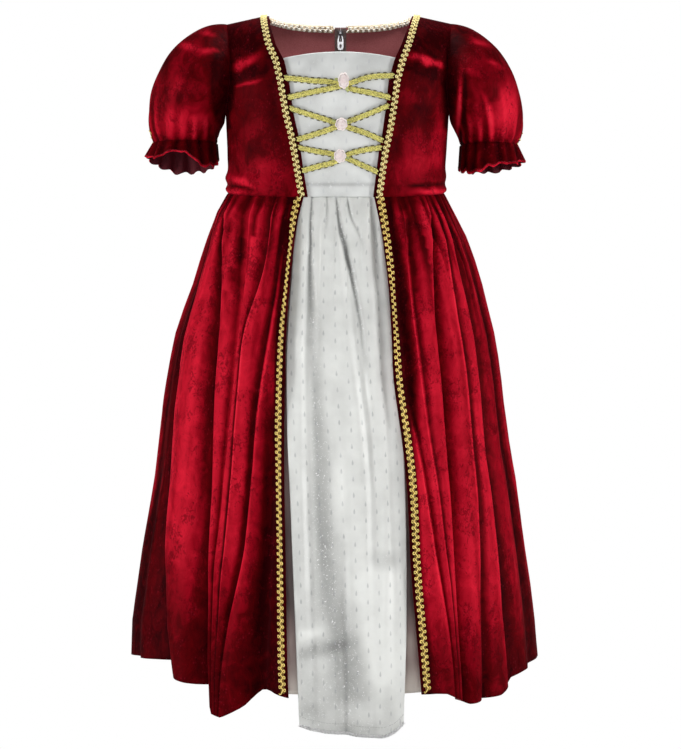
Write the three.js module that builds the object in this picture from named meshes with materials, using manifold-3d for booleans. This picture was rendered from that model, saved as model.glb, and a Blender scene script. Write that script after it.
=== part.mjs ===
// Princess costume dress, kept in its worn form: velvet bodice, puff sleeves and open skirt over a pale apron.
// Units are millimetres, Z is up, the front faces -Y and the origin lies midway between the shoulder seams.
import * as THREE from "three";
import Module from "manifold-3d";

const wasm = await Module();
wasm.setup();

// Driving dimensions
const WAIST_DROP = 189; // shoulder line to waist seam
const HEM_DROP = 705; // shoulder line to the level part of the hem
const UNDERARM_DROP = 105; // shoulder line to the lowest point of the armhole
const NECK_HALF = 82; // centre line to the neck end of the shoulder seam
const VELVET_WALL = 1.6;
const SATIN_WALL = 1.2;
const SEAM_GAP = 0.3; // two sewn pieces lie this far apart
const BRAID_WIDTH = 10;
const BRAID_THICK = 1.6;
const LACE_WIDTH = 7;
const LACE_THICK = 0.9;
const FRONT_GATHERS = 8; // on each front skirt panel
const BACK_GATHERS = 8; // on each back skirt panel
const APRON_GATHERS = 7;
const GATHER_DEPTH = 1.4;
const SLEEVE_GATHERS = 16; // round each elastic
const FRILL_LENGTH = 26;

// Half widths and depths of the torso by drop below the shoulder line
const TORSO = {
  columns: ["drop", "left", "right", "front", "back"],
  rows: [
    [0, 132, 128, 86, 80],
    [60, 131, 126, 86, 80],
    [105, 124, 117, 86, 80],
    [140, 122.5, 115, 86, 80],
    [189, 122, 112, 86, 80],
  ],
};

// Where the armhole edge lies, out from the centre line
const ARMHOLE = {
  columns: ["drop", "left", "right"],
  rows: [
    [0, 122, 119],
    [15, 119, 116],
    [40, 116.5, 113],
    [70, 117.5, 112.5],
    [90, 120.5, 114],
    [105, 124, 117],
  ],
};

// Middle line of the neck braid, out from the centre line
const NECK_BRAID = {
  columns: ["drop", "left", "right", "margin"],
  rows: [
    [0, 82, 82, 0.5],
    [7, 81, 79, 1],
    [30, 75.5, 71.5, 2.5],
    [47, 67.5, 64.8, 3.5],
    [68, 62.6, 59, 3.5],
    [86, 59.6, 56.8, 3],
    [105, 56.3, 54, 2.5],
    [123, 51.6, 51, 2],
    [142, 48.2, 46.8, 1.5],
    [160, 45.3, 44.3, 1.2],
    [189, 40.5, 40.5, 1],
  ],
};

// Outline of the skirt at its side and its front and back, by drop
const SKIRT = {
  columns: ["drop", "left", "right", "front", "back"],
  rows: [
    [189, 122, 112, 86, 80],
    [210, 135, 123.5, 97, 91],
    [236, 144.5, 137, 106, 100],
    [263, 153.5, 147, 113, 107],
    [289, 161.5, 155, 120, 114],
    [315, 171.5, 161.5, 127, 121],
    [342, 180.5, 168.5, 133, 128],
    [368, 186, 173, 138, 133],
    [395, 191, 177, 142, 137],
    [422, 195.5, 180, 145, 141],
    [462, 200.5, 185, 149, 145],
    [502, 205.5, 193, 154, 150],
    [543, 212.5, 199, 160, 156],
    [584, 220, 205, 165.5, 161],
    [625, 226, 211.5, 170.5, 166],
    [666, 232, 216.5, 175, 171],
    [707, 234, 220, 178, 174],
  ],
};

// Folds of the skirt: each has a crest, from which the cloth drops steeply on its outer side and rises gently to the
// next crest. Angles go out from the front or back middle, in degrees, and drops are in millimetres.
const FOLD_LEVELS = [0.04, 0.12, 0.25, 0.4, 0.55, 0.7, 0.85, 1];
const DROP_SPAN = 2.4; // degrees from a crest to the bottom beyond it
const FOLDS = {
  columns: ["panel", "crest angles at the levels", "drops at the levels"],
  rows: [
    ["front_left", [19.5, 19.5, 20, 23, 24.6, 26, 29.6, 31.2], [0, 0, 1, 7, 9, 10, 7, 2]],
    ["front_left", [28.5, 27.5, 30.5, 30.4, 30.5, 31.5, 32, 32.2], [5, 6, 2, 0, 0, 0, 0, 0]],
    ["front_left", [42.5, 39, 34, 33, 33.9, 34.6, 34, 33.1], [6, 8, 9, 9, 8, 6, 2, 0]],
    ["front_left", [66, 57, 46.3, 42.6, 40.3, 38, 35.5, 33.9], [3, 8, 13, 16, 17, 19, 22, 26]],
    ["front_left", [76, 73, 70, 67, 65.5, 62.5, 56.8, 50.6], [0, 1, 3, 5, 8, 11, 14, 15]],
    ["front_right", [19.5, 19.5, 19.5, 20.3, 24.2, 26.8, 29.6, 31.4], [0, 0, 0, 3, 6, 8, 8, 3]],
    ["front_right", [29.2, 25.5, 24, 25, 28, 29.5, 31.3, 32.5], [5, 6, 2, 0, 0, 0, 0, 0]],
    ["front_right", [48.8, 41, 35.5, 35.2, 35.1, 33.8, 33, 33.6], [6, 9, 11, 12, 12, 12, 13, 14]],
    ["front_right", [54, 49, 46, 46, 46, 45, 43, 42], [1, 0, 0, 0, 0, 3, 7, 9]],
    ["front_right", [62, 57, 57, 56, 55.5, 55.4, 54.8, 54.5], [4, 6, 8, 9, 9, 9, 8, 6]],
    ["back_left", [22, 21, 20, 19.5, 19, 19, 19, 19.5], [4, 7, 9, 10, 11, 11, 12, 12]],
    ["back_left", [40, 38, 37, 36.5, 36, 35.5, 36, 36.5], [3, 6, 9, 11, 12, 13, 13, 14]],
    ["back_left", [57, 55, 53.5, 53, 52.5, 52, 52, 51.5], [4, 7, 9, 10, 11, 12, 14, 14]],
    ["back_left", [72, 71, 70, 69.5, 69, 68.5, 68, 68], [3, 5, 6, 7, 8, 9, 10, 10]],
    ["back_right", [19, 19, 19.5, 20, 20, 20.5, 20.5, 20], [4, 6, 8, 10, 11, 12, 12, 12]],
    ["back_right", [36, 35, 34.5, 34, 34.5, 35, 35, 35], [4, 7, 9, 10, 11, 12, 13, 13]],
    ["back_right", [53, 52, 51, 50.5, 50, 49.5, 49, 49.5], [4, 6, 8, 10, 11, 12, 13, 14]],
    ["back_right", [70, 69, 68, 67, 67, 66.5, 66, 66], [3, 5, 6, 8, 9, 9, 10, 10]],
  ],
};
// Rounded hollows besides the folds
const HOLLOWS = {
  columns: ["panel", "angles at the levels", "depths at the levels", "half width in degrees"],
  rows: [
    ["front_left", [18, 18, 18, 18.3, 18.8, 19.3, 19.6, 20], [0, 0, 0, 4, 10, 13, 15, 15], 3.6],
    ["front_left", [82, 81, 80, 79, 78, 77, 76, 75], [2, 3, 4, 5, 5, 6, 7, 8], 5],
    ["front_right", [21, 20.5, 20.5, 21, 22, 24, 24, 24], [4, 7, 8, 5, 0, 0, 0, 0], 3],
    ["front_right", [77, 76, 75.5, 75, 75, 75, 75, 75], [2, 4, 5, 6, 6, 7, 7, 7], 5],
  ],
};

// Angle of the velvet's open front edge at the same sort of levels
const FRONT_EDGE = {
  columns: ["height", "left", "right", "roll left", "roll right"],
  rows: [
    [0, 15, 15, 0, 0],
    [0.06, 15, 15, 6, 3],
    [0.12, 15, 15, 9, 4],
    [0.2, 15, 15, 8.5, 6.5],
    [0.28, 15, 15, 4, 4],
    [0.36, 15, 15.5, 0, 0],
    [0.5, 15, 18, 0, 0],
    [0.75, 13.2, 19, 0, 0],
    [1, 12, 21, 0, 0],
  ],
};

// How far the hem hangs below or above its level line, by angle from the front middle, negative to the photo's left
const HEM = {
  columns: ["angle", "extra drop"],
  rows: [
    [-180, -3],
    [-150, 6],
    [-120, -4],
    [-90, -2],
    [-80, -8],
    [-68, -15],
    [-60, -19],
    [-52.6, -22],
    [-50.6, -6],
    [-45, -5],
    [-38, -3],
    [-35.6, -1],
    [-33.9, 24],
    [-31, 27],
    [-28, 21],
    [-24.5, 13],
    [-22, 1],
    [-20.5, -4],
    [-17, -4],
    [-12, 0],
    [0, 0],
    [21, -2],
    [26, -1],
    [29, 0.5],
    [31.5, 5],
    [34, 9.5],
    [37.5, 16],
    [43, 14],
    [50, 13],
    [55.5, 7],
    [57.5, -1],
    [64.5, -3],
    [78, -3],
    [90, -2],
    [120, 5],
    [150, -3],
    [180, -3],
  ],
};

// Side edges and bottom of the apron
const APRON = {
  columns: ["height", "left", "right", "inset at edges", "inset at middle"],
  rows: [
    [0, -47, 47, 2.6, 2.6],
    [0.06, -49, 49, 10, 5],
    [0.12, -50, 50, 13, 7],
    [0.2, -53, 53, 13, 8],
    [0.3, -56, 57, 9, 7],
    [0.4, -56, 63, 5, 5],
    [0.6, -52, 68, 4, 4],
    [0.8, -47.5, 69, 4, 3],
    [1, -43, 66, 4, 3],
  ],
};
const LEVELS = [0.08, 0.25, 0.5, 0.75, 1];
const APRON_TROUGHS = {
  columns: ["across at the levels", "depths at the levels"],
  rows: [
    [[-27, -34, -34, -30, -24], [3, 4, 4, 4, 3]],
    [[-12, -14, -14, -14, -12], [2, 0, 0, 0, 0]],
    [[3, 15, 32, 36, 36], [3, 4, 4, 3, 3]],
    [[12, 26, 30, 30, 30], [3, 0, 0, 0, 0]],
    [[34, 42, 52, 56, 56], [3, 3, 2, 2, 2]],
    [[-2, -4, 0, 4, 6], [0, 0, 2, 4, 4]],
  ],
};
const APRON_BOTTOM = {
  columns: ["across", "drop"],
  rows: [
    [-47, 735],
    [-30, 741],
    [0, 745],
    [25, 748],
    [45, 749],
    [58, 744],
    [69, 732],
  ],
};

// Lacing braids: across and drop of points on their middle line
const LACES = {
  columns: ["cross", "strand", "points"],
  rows: [
    [1, "a", [[-57.6, 65.5], [-31, 68], [-4.7, 70.7], [8.8, 75.9], [30, 80.4], [51.9, 85.7]]],
    [1, "b", [[-54.5, 85.7], [-30, 80], [-4.7, 74.8], [9.9, 70.7], [28.5, 64.9], [55.5, 63]]],
    [2, "a", [[-52.4, 96.6], [-31.7, 103.4], [-9.9, 110.1], [9.3, 116.8], [26.5, 122.5], [43, 129.8]]],
    [2, "b", [[-45.2, 129.3], [-26.5, 123.6], [-8.3, 117.4], [9.3, 110.1], [28.5, 102.8], [48.3, 94.5]]],
    [3, "a", [[-43, 137.6], [-26.5, 141.2], [-8.3, 144.3], [8.8, 149.5], [22.3, 155.7], [38.9, 163]]],
    [3, "b", [[-41, 162], [-22.3, 156.8], [-6.7, 152.6], [8.8, 144.3], [24.4, 140.2], [42, 137.6]]],
  ],
};
const ROSES = {
  columns: ["across", "drop", "half width", "half height"],
  rows: [
    [3.3, 68, 6.4, 9.4],
    [0.9, 113, 7.1, 7.4],
    [-0.5, 146, 7.1, 7.8],
  ],
};

const FRONT = -1;
const BACK = 1;
const LEFT = -1; // the photo's left, which is the wearer's right
const RIGHT = 1;
const torad = Math.PI / 180;
const clamp = (v, a, b) => Math.min(b, Math.max(a, v));
const mix = (a, b, f) => a + (b - a) * f;
const ease = (f) => f * f * (3 - 2 * f);

// Reads a named column of a table, straight between its rows
function read(table, column, at) {
  const c = table.columns.indexOf(column);
  const rows = table.rows;
  if (at <= rows[0][0]) return rows[0][c];
  for (let i = 1; i < rows.length; i++) {
    if (at <= rows[i][0]) {
      const f = (at - rows[i - 1][0]) / (rows[i][0] - rows[i - 1][0]);
      return mix(rows[i - 1][c], rows[i][c], f);
    }
  }
  return rows[rows.length - 1][c];
}

// Reads a short list given at levels of the height
function atLevel(list, height, levels = FOLD_LEVELS) {
  if (height <= levels[0]) return list[0];
  for (let i = 1; i < levels.length; i++) {
    if (height <= levels[i]) {
      return mix(list[i - 1], list[i], (height - levels[i - 1]) / (levels[i] - levels[i - 1]));
    }
  }
  return list[list.length - 1];
}

const sideName = (side) => (side === LEFT ? "left" : "right");

// Torso surface: side, front or back, drop below the shoulder line, and angle out from the middle
const ROUND = 2.4;
function shoulderProfile(drop) {
  return Math.pow(1 - Math.pow(1 - clamp(drop / 90, 0, 1), 2.6), 1 / 2.6);
}
function torsoDepth(face, drop, across) {
  const full = read(TORSO, face === FRONT ? "front" : "back", drop);
  const ridge = full * shoulderProfile(drop);
  if (face === FRONT) return ridge;
  const upright = 58 + (full - 58) * (1 - Math.pow(1 - clamp(drop / 100, 0, 1), 2));
  const k = ease(clamp((84 - Math.abs(across)) / 24, 0, 1));
  return mix(ridge, upright, k);
}
function torsoPoint(side, face, drop, across) {
  const half = read(TORSO, sideName(side), drop);
  const x = clamp(Math.abs(across), 0, half);
  const depth = torsoDepth(face, drop, x) * Math.pow(Math.max(0, 1 - Math.pow(x / half, ROUND)), 1 / ROUND);
  const slope = 0.22 * Math.max(0, x - NECK_HALF) * clamp(1 - drop / 90, 0, 1);
  return new THREE.Vector3(side * x, face * (SEAM_GAP / 2 + depth), -drop - slope);
}
function acrossToAngle(side, drop, across) {
  const half = read(TORSO, sideName(side), drop);
  return Math.asin(Math.pow(clamp(across / half, 0, 1), ROUND / 2));
}
function angleToAcross(side, drop, angle) {
  return read(TORSO, sideName(side), drop) * Math.pow(Math.sin(angle), 2 / ROUND);
}
function outerAcross(side, drop) {
  if (drop >= UNDERARM_DROP) return read(TORSO, sideName(side), drop);
  return read(ARMHOLE, sideName(side), drop);
}

// Solids from rows of points: the sheet is given a thickness between two offsets along its normals
function thicken(rows, options) {
  const { closed = false, low, high, inside, hold = null } = options;
  const points = [];
  const first = [];
  for (const row of rows) {
    first.push(points.length);
    for (const p of row) points.push(p);
  }
  const faces = [];
  for (let i = 0; i + 1 < rows.length; i++) {
    const n = rows[i].length;
    const m = rows[i + 1].length;
    const a = (j) => first[i] + (closed ? j % n : j);
    const b = (j) => first[i + 1] + (closed ? j % m : j);
    if (n === m) {
      const spans = closed ? n : n - 1;
      for (let j = 0; j < spans; j++) {
        faces.push([a(j), b(j), b(j + 1)]);
        faces.push([a(j), b(j + 1), a(j + 1)]);
      }
    } else {
      const spans = closed ? n : n - 1;
      for (let j = 0; j < spans; j++) {
        faces.push([a(j), b(2 * j), b(2 * j + 1)]);
        faces.push([a(j), b(2 * j + 1), a(j + 1)]);
        faces.push([a(j + 1), b(2 * j + 1), b(2 * j + 2)]);
      }
    }
  }
  const normals = points.map(() => new THREE.Vector3());
  const e1 = new THREE.Vector3();
  const e2 = new THREE.Vector3();
  for (const [p, q, r] of faces) {
    e1.subVectors(points[q], points[p]);
    e2.subVectors(points[r], points[p]);
    e1.cross(e2);
    for (const k of [p, q, r]) normals[k].add(e1);
  }
  let outward = 0;
  const toward = new THREE.Vector3();
  normals.forEach((n, k) => {
    toward.subVectors(points[k], inside(points[k]));
    outward += n.dot(toward);
    n.normalize();
  });
  if (outward < 0) {
    normals.forEach((n) => n.negate());
    faces.forEach((f) => f.reverse());
  }
  if (hold) {
    rows.forEach((row, i) => {
      row.forEach((p, j) => {
        const n = normals[first[i] + j];
        hold(i, j, n, p);
        n.normalize();
      });
    });
  }
  const offset = (value, i, j) => (typeof value === "function" ? value(i, j) : value);
  const outer = [];
  const inner = [];
  rows.forEach((row, i) => {
    row.forEach((p, j) => {
      const n = normals[first[i] + j];
      outer.push(p.clone().addScaledVector(n, offset(high, i, j)));
      inner.push(p.clone().addScaledVector(n, offset(low, i, j)));
    });
  });
  const used = new Set(faces.flatMap(([p, q, r]) => [p + "," + q, q + "," + r, r + "," + p]));
  const triangles = [];
  const count = points.length;
  for (const [p, q, r] of faces) {
    triangles.push([p, q, r]);
    triangles.push([count + p, count + r, count + q]);
    for (const [s, t] of [[p, q], [q, r], [r, p]]) {
      if (used.has(t + "," + s)) continue;
      triangles.push([t, s, count + s]);
      triangles.push([t, count + s, count + t]);
    }
  }
  return { geometry: toGeometry(outer.concat(inner), triangles), points, normals, first };
}

function toGeometry(points, triangles) {
  const geometry = new THREE.BufferGeometry();
  const values = points.flatMap((p) => [p.x, p.y, p.z]);
  geometry.setAttribute("position", new THREE.Float32BufferAttribute(values, 3));
  geometry.setIndex(triangles.flat());
  geometry.computeVertexNormals();
  return geometry;
}

// One closed surface swept from rings of equal size, with both ends capped as fans
function swept(rings) {
  const points = rings.flat();
  const n = rings[0].length;
  const triangles = [];
  for (let i = 0; i + 1 < rings.length; i++) {
    for (let j = 0; j < n; j++) {
      const a = i * n + j;
      const b = i * n + ((j + 1) % n);
      triangles.push([a, b, b + n], [a, b + n, a + n]);
    }
  }
  const last = (rings.length - 1) * n;
  for (let j = 1; j + 1 < n; j++) {
    triangles.push([0, j + 1, j]);
    triangles.push([last, last + j, last + j + 1]);
  }
  const solid = toSolid(toGeometry(points, triangles));
  if (solid.volume() < 0) triangles.forEach((t) => t.reverse());
  return toGeometry(points, triangles);
}

function toSolid(geometry) {
  const plain = geometry.index ? geometry : mergedCopy(geometry);
  return new wasm.Manifold(
    new wasm.Mesh({
      numProp: 3,
      vertProperties: new Float32Array(plain.getAttribute("position").array),
      triVerts: new Uint32Array(plain.index.array),
    }),
  );
}

// Welds equal corners of a geometry
function mergedCopy(geometry) {
  const source = geometry.index ? geometry.toNonIndexed() : geometry;
  const position = source.getAttribute("position");
  const seen = new Map();
  const points = [];
  const order = [];
  for (let i = 0; i < position.count; i++) {
    const p = new THREE.Vector3().fromBufferAttribute(position, i);
    const key = [p.x, p.y, p.z].map((v) => Math.round(v * 1e4)).join(",");
    if (!seen.has(key)) {
      seen.set(key, points.length);
      points.push(p);
    }
    order.push(seen.get(key));
  }
  const triangles = [];
  for (let i = 0; i < order.length; i += 3) triangles.push([order[i], order[i + 1], order[i + 2]]);
  return toGeometry(points, triangles);
}

function united(geometries) {
  const solids = geometries.map((g) => toSolid(mergedCopy(g)));
  const mesh = wasm.Manifold.union(solids).getMesh();
  const geometry = new THREE.BufferGeometry();
  geometry.setAttribute("position", new THREE.Float32BufferAttribute(Array.from(mesh.vertProperties), 3));
  geometry.setIndex(Array.from(mesh.triVerts));
  return geometry;
}

const velvet = new THREE.MeshStandardMaterial({ color: 0x8c1024, roughness: 0.8 });
const satin = new THREE.MeshStandardMaterial({ color: 0xdadbd6, roughness: 0.5 });
const lining = new THREE.MeshStandardMaterial({ color: 0xa89b91, roughness: 0.7 });
const gold = new THREE.MeshStandardMaterial({ color: 0xc8aa50, roughness: 0.4, metalness: 0.6 });
const pink = new THREE.MeshStandardMaterial({ color: 0xeedcd8, roughness: 0.6 });
const tape = new THREE.MeshStandardMaterial({ color: 0x4a3a3c, roughness: 0.8 });
const silver = new THREE.MeshStandardMaterial({ color: 0xb8b8ba, roughness: 0.3, metalness: 0.9 });

const dress = new THREE.Group();
dress.name = "princess_costume_dress";
function add(name, geometry, material) {
  const mesh = new THREE.Mesh(geometry, material);
  mesh.name = name;
  dress.add(mesh);
}
const bodyAxis = (p) => new THREE.Vector3(0, 0, p.z < -60 ? p.z : -60);

// Bodice front panels: column 0 is the open edge, columns 1 and 2 carry the neck braid
const FRONT_DROPS = [0, 3, 8, 16, 28, 44, 62, 82, 105, 130, 160, WAIST_DROP];
const FRONT_COLUMNS = 9;
function frontEdgeAcross(side, drop) {
  return braidAcross(side, drop, -1) - read(NECK_BRAID, "margin", drop);
}
function braidAcross(side, drop, edge) {
  return read(NECK_BRAID, sideName(side), drop) + (edge * BRAID_WIDTH) / 2;
}
function bodiceFront(side) {
  const rows = FRONT_DROPS.map((drop) => {
    const row = [frontEdgeAcross(side, drop), braidAcross(side, drop, -1), braidAcross(side, drop, 1)];
    const from = acrossToAngle(side, drop, row[2]);
    const to = acrossToAngle(side, drop, outerAcross(side, drop));
    for (let j = 3; j < FRONT_COLUMNS; j++) {
      row.push(angleToAcross(side, drop, mix(from, to, (j - 2) / (FRONT_COLUMNS - 3))));
    }
    row[FRONT_COLUMNS - 1] = outerAcross(side, drop);
    return row.map((x) => torsoPoint(side, FRONT, drop, x));
  });
  const hold = (i, j, n) => {
    if (i === 0) n.set(0, 0, 1);
    if (i === rows.length - 1) n.z = 0;
    if (j === FRONT_COLUMNS - 1) {
      if (FRONT_DROPS[i] >= UNDERARM_DROP) n.y = 0;
      else if (i > 0) n.x = 0;
    }
  };
  const name = "bodice_front_" + sideName(side);
  const made = thicken(rows, { low: -VELVET_WALL, high: 0, inside: bodyAxis, hold });
  add(name, made.geometry, velvet);
  const strip = rows.map((row) => [row[1], row[2]]);
  const stripHold = (i, j, n) => n.copy(made.normals[made.first[i] + 1 + j]);
  const trim = { low: SEAM_GAP, high: SEAM_GAP + BRAID_THICK, inside: bodyAxis, hold: stripHold };
  add("braid_neck_" + sideName(side), thicken(strip, trim).geometry, gold);
  return rows;
}

// Bodice back panels: the top edge is the back neckline out to the shoulder, then the shoulder seam
const BACK_TOP = {
  columns: ["across", "drop"],
  rows: [
    [0, 11],
    [6.5, 11],
    [22, 10.6],
    [40, 9.8],
    [54, 8.3],
    [66, 6.2],
    [74, 4.2],
    [78.5, 2.5],
    [82, 0],
    [100, 0],
    [125, 0],
  ],
};
const BACK_ACROSS = [0.15, 6.5, 22, 40, 54, 66, 74, 78.5, 82, 94, 107, 1];
const BACK_FALL = [0, 0.036, 0.085, 0.15, 0.24, 0.34, 0.5, 0.66, 0.82, 1];
function bodiceBack(side) {
  const count = BACK_ACROSS.length;
  const topEnd = outerAcross(side, 0);
  const rows = BACK_FALL.map((fall, i) =>
    BACK_ACROSS.map((value, j) => {
      const topAcross = j === count - 1 ? topEnd : value;
      const drop = mix(read(BACK_TOP, "drop", topAcross), WAIST_DROP, fall);
      if (j < 2) return torsoPoint(side, BACK, drop, topAcross);
      const even = (j - 1) / (count - 2);
      const share = acrossToAngle(side, 0, topAcross) / acrossToAngle(side, 0, topEnd);
      const end = acrossToAngle(side, drop, outerAcross(side, drop));
      const start = acrossToAngle(side, drop, 6.5);
      const spread = mix(share, even + 0.05 * (1 - even), ease(clamp(fall * 2.2, 0, 1)));
      const angle = Math.max(mix(0, end, spread), start + 0.01 * j);
      const across = j === count - 1 ? outerAcross(side, drop) : angleToAcross(side, drop, angle);
      return torsoPoint(side, BACK, drop, across);
    }),
  );
  const hold = (i, j, n, p) => {
    if (i === 0 && j > 8) n.set(0, 0, 1);
    if (i === 0 && j === 8) n.set(0, 0, 1);
    if (i === rows.length - 1) n.z = 0;
    if (j === 0) n.x = 0;
    if (j === count - 1) {
      if (-p.z >= UNDERARM_DROP - 0.01) n.y = 0;
      else if (i > 0) n.x = 0;
    }
  };
  const made = thicken(rows, { low: -VELVET_WALL, high: 0, inside: bodyAxis, hold });
  add("bodice_back_" + sideName(side), made.geometry, velvet);

  // Zip tape on the inner face, beside the middle
  const tapeRows = rows.map((row) => [row[0], row[1]]);
  const tapeHold = (i, j, n) => n.copy(made.normals[made.first[i] + j]);
  const tapeLow = -(VELVET_WALL + SEAM_GAP + 0.8);
  const tapeHigh = -(VELVET_WALL + SEAM_GAP);
  const tapeMade = thicken(tapeRows, { low: tapeLow, high: tapeHigh, inside: bodyAxis, hold: tapeHold });
  add("zip_tape_" + sideName(side), tapeMade.geometry, tape);

  // Braid folded over the neckline, from beside the zip to just short of the shoulder seam
  const rings = [];
  for (let j = 1; j <= 7; j++) {
    const p = rows[0][j].clone();
    const n = made.normals[made.first[0] + j];
    const down = new THREE.Vector3().subVectors(rows[1][j], rows[0][j]).normalize();
    if (j === 1) p.x += side * 0.4;
    const q = rows[1][j].clone();
    const m = made.normals[made.first[1] + j];
    if (j === 1) q.x += side * 0.4;
    const upper = (out, up) => p.clone().addScaledVector(n, out).addScaledVector(down, -up);
    const lower = (out) => q.clone().addScaledVector(m, out);
    const face = SEAM_GAP + 0.2;
    const back = -(VELVET_WALL + SEAM_GAP + 0.2);
    const thick = 1.3;
    rings.push([
      lower(face),
      lower(face + thick),
      upper(face + thick, thick),
      upper(back - thick, thick),
      lower(back - thick),
      lower(back),
      upper(back, SEAM_GAP + 0.1),
      upper(face, SEAM_GAP + 0.1),
    ]);
  }
  add("braid_neck_back_" + sideName(side), swept(rings), gold);
  return rows;
}

// Insert panel: tucked behind the open edges of the velvet
const INSERT_TUCK = 5;
const INSERT_FACE = VELVET_WALL + 0.9; // its face lies this far behind the velvet's
function bodiceInsert() {
  const drops = [44, 53, 62, 82, 105, 130, 160, WAIST_DROP];
  const columns = 9;
  const rows = drops.map((drop, i) => {
    const row = [];
    for (let j = 0; j < columns; j++) {
      const f = j / (columns - 1);
      const from = -(frontEdgeAcross(LEFT, drop) + INSERT_TUCK);
      const to = frontEdgeAcross(RIGHT, drop) + INSERT_TUCK;
      const x = mix(from, to, f);
      const side = x < 0 ? LEFT : RIGHT;
      const top = i === 0 ? -7 * (1 - Math.pow(x / 60, 2)) : 0;
      const p = torsoPoint(side, FRONT, drop, Math.abs(x));
      const raised = torsoPoint(side, FRONT, drop + top, Math.abs(x));
      row.push(top ? raised : p);
    }
    return row;
  });
  const hold = (i, j, n) => {
    if (i === rows.length - 1) n.z = 0;
  };
  const low = -(INSERT_FACE + SATIN_WALL);
  add("bodice_insert", thicken(rows, { low, high: -INSERT_FACE, inside: bodyAxis, hold }).geometry, satin);
}

// Skirt surface: side, front or back, angle out from the middle and height from 0 at the waist to 1 at the hem
function skirtHull(side, face, angle, height, extra = 0) {
  const drop = WAIST_DROP + (HEM_DROP - WAIST_DROP) * height;
  const power = 2 / (2.4 - 0.25 * height);
  const half = read(SKIRT, sideName(side), drop);
  const depth = read(SKIRT, face === FRONT ? "front" : "back", drop);
  const x = side * half * Math.pow(Math.sin(angle * torad), power);
  const y = face * depth * Math.pow(Math.max(0, Math.cos(angle * torad)), power);
  return new THREE.Vector3(x, y, -drop - SEAM_GAP - extra);
}
function skirtAngleOf(side, across, height) {
  const drop = WAIST_DROP + (HEM_DROP - WAIST_DROP) * height;
  const power = 2 / (2.4 - 0.25 * height);
  const half = read(SKIRT, sideName(side), drop);
  return Math.asin(Math.pow(clamp(Math.abs(across) / half, 0, 1), 1 / power)) / torad;
}
const SIDE_EDGE = 89.9;
// Crests of a panel at a height, each with its angle, its drop and the angle where that drop ends
function crests(panel, height) {
  const list = FOLDS.rows.filter((row) => row[0] === panel);
  return list.map(([, angles, drops], k) => {
    const at = atLevel(angles, height);
    const next = k + 1 < list.length ? atLevel(list[k + 1][1], height) : SIDE_EDGE;
    return { at, next, drop: atLevel(drops, height), bottom: at + Math.min(DROP_SPAN, 0.45 * (next - at)) };
  });
}
function foldDepth(panel, angle, height) {
  let depth = 0;
  for (const { at, next, drop, bottom } of crests(panel, height)) {
    if (angle <= at || angle >= next) continue;
    const down = ease(clamp((angle - at) / (bottom - at), 0, 1));
    const up = 0.5 + 0.5 * Math.cos((Math.PI * Math.max(0, angle - bottom)) / (next - bottom));
    depth = drop * Math.min(down, up) * ease(clamp((next - at) / 5, 0, 1));
  }
  for (const [name, angles, depths, width] of HOLLOWS.rows) {
    if (name !== panel) continue;
    const off = (angle - atLevel(angles, height)) / width;
    depth += atLevel(depths, height) * Math.exp(-off * off);
  }
  return depth * ease(clamp(height / 0.08, 0, 1));
}
// Angles of a panel's columns: evenly spread, but with one on each crest and one at its bottom
function columnAngles(panel, start, height, count) {
  const middle = crests(panel, 0.4);
  const here = crests(panel, height);
  const knots = [[0, start]];
  let last = 0;
  middle.forEach(({ at }, k) => {
    const even = Math.round(((at - 20) / (SIDE_EDGE - 20)) * count);
    const column = Math.max(even, last + 2);
    knots.push([column, Math.max(here[k].at, start + 0.4)], [column + 1, Math.max(here[k].bottom, start + 0.8)]);
    last = column + 1;
  });
  knots.push([count, SIDE_EDGE]);
  const angles = [];
  for (let k = 1; k < knots.length; k++) {
    const [from, low] = knots[k - 1];
    const [to, high] = knots[k];
    for (let j = from; j < to; j++) angles.push(mix(low, high, (j - from) / (to - from)));
  }
  return [...angles, SIDE_EDGE];
}
const SKIRT_HEIGHTS = [0, 0.025, 0.07, 0.14, 0.22, 0.32, 0.43, 0.55, 0.67, 0.79, 0.9, 1];
function skirtPoint(side, face, angle, height, gatherPhase) {
  const panel = (face === FRONT ? "front_" : "back_") + sideName(side);
  const around = side * (face === FRONT ? angle : 180 - angle);
  const p = skirtHull(side, face, angle, height);
  p.z -= read(HEM, "extra drop", around) * Math.pow(height, 3);
  const quiet = ease(clamp((SIDE_EDGE - angle) / 5, 0, 1)) * (face === FRONT ? 1 : ease(clamp(angle / 5, 0, 1)));
  const beside = face === FRONT ? clamp((angle - 20) / 2.5, 0, 1) : 1; // flat under the braid
  const gather = beside * GATHER_DEPTH * (1 - ease(clamp(height / 0.13, 0, 1))) * (0.5 - 0.5 * Math.cos(gatherPhase));
  const depth = foldDepth(panel, angle, height) * quiet + gather;
  const reach = Math.hypot(p.x, p.y);
  p.x *= 1 - depth / reach;
  p.y *= 1 - depth / reach;
  return p;
}
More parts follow.
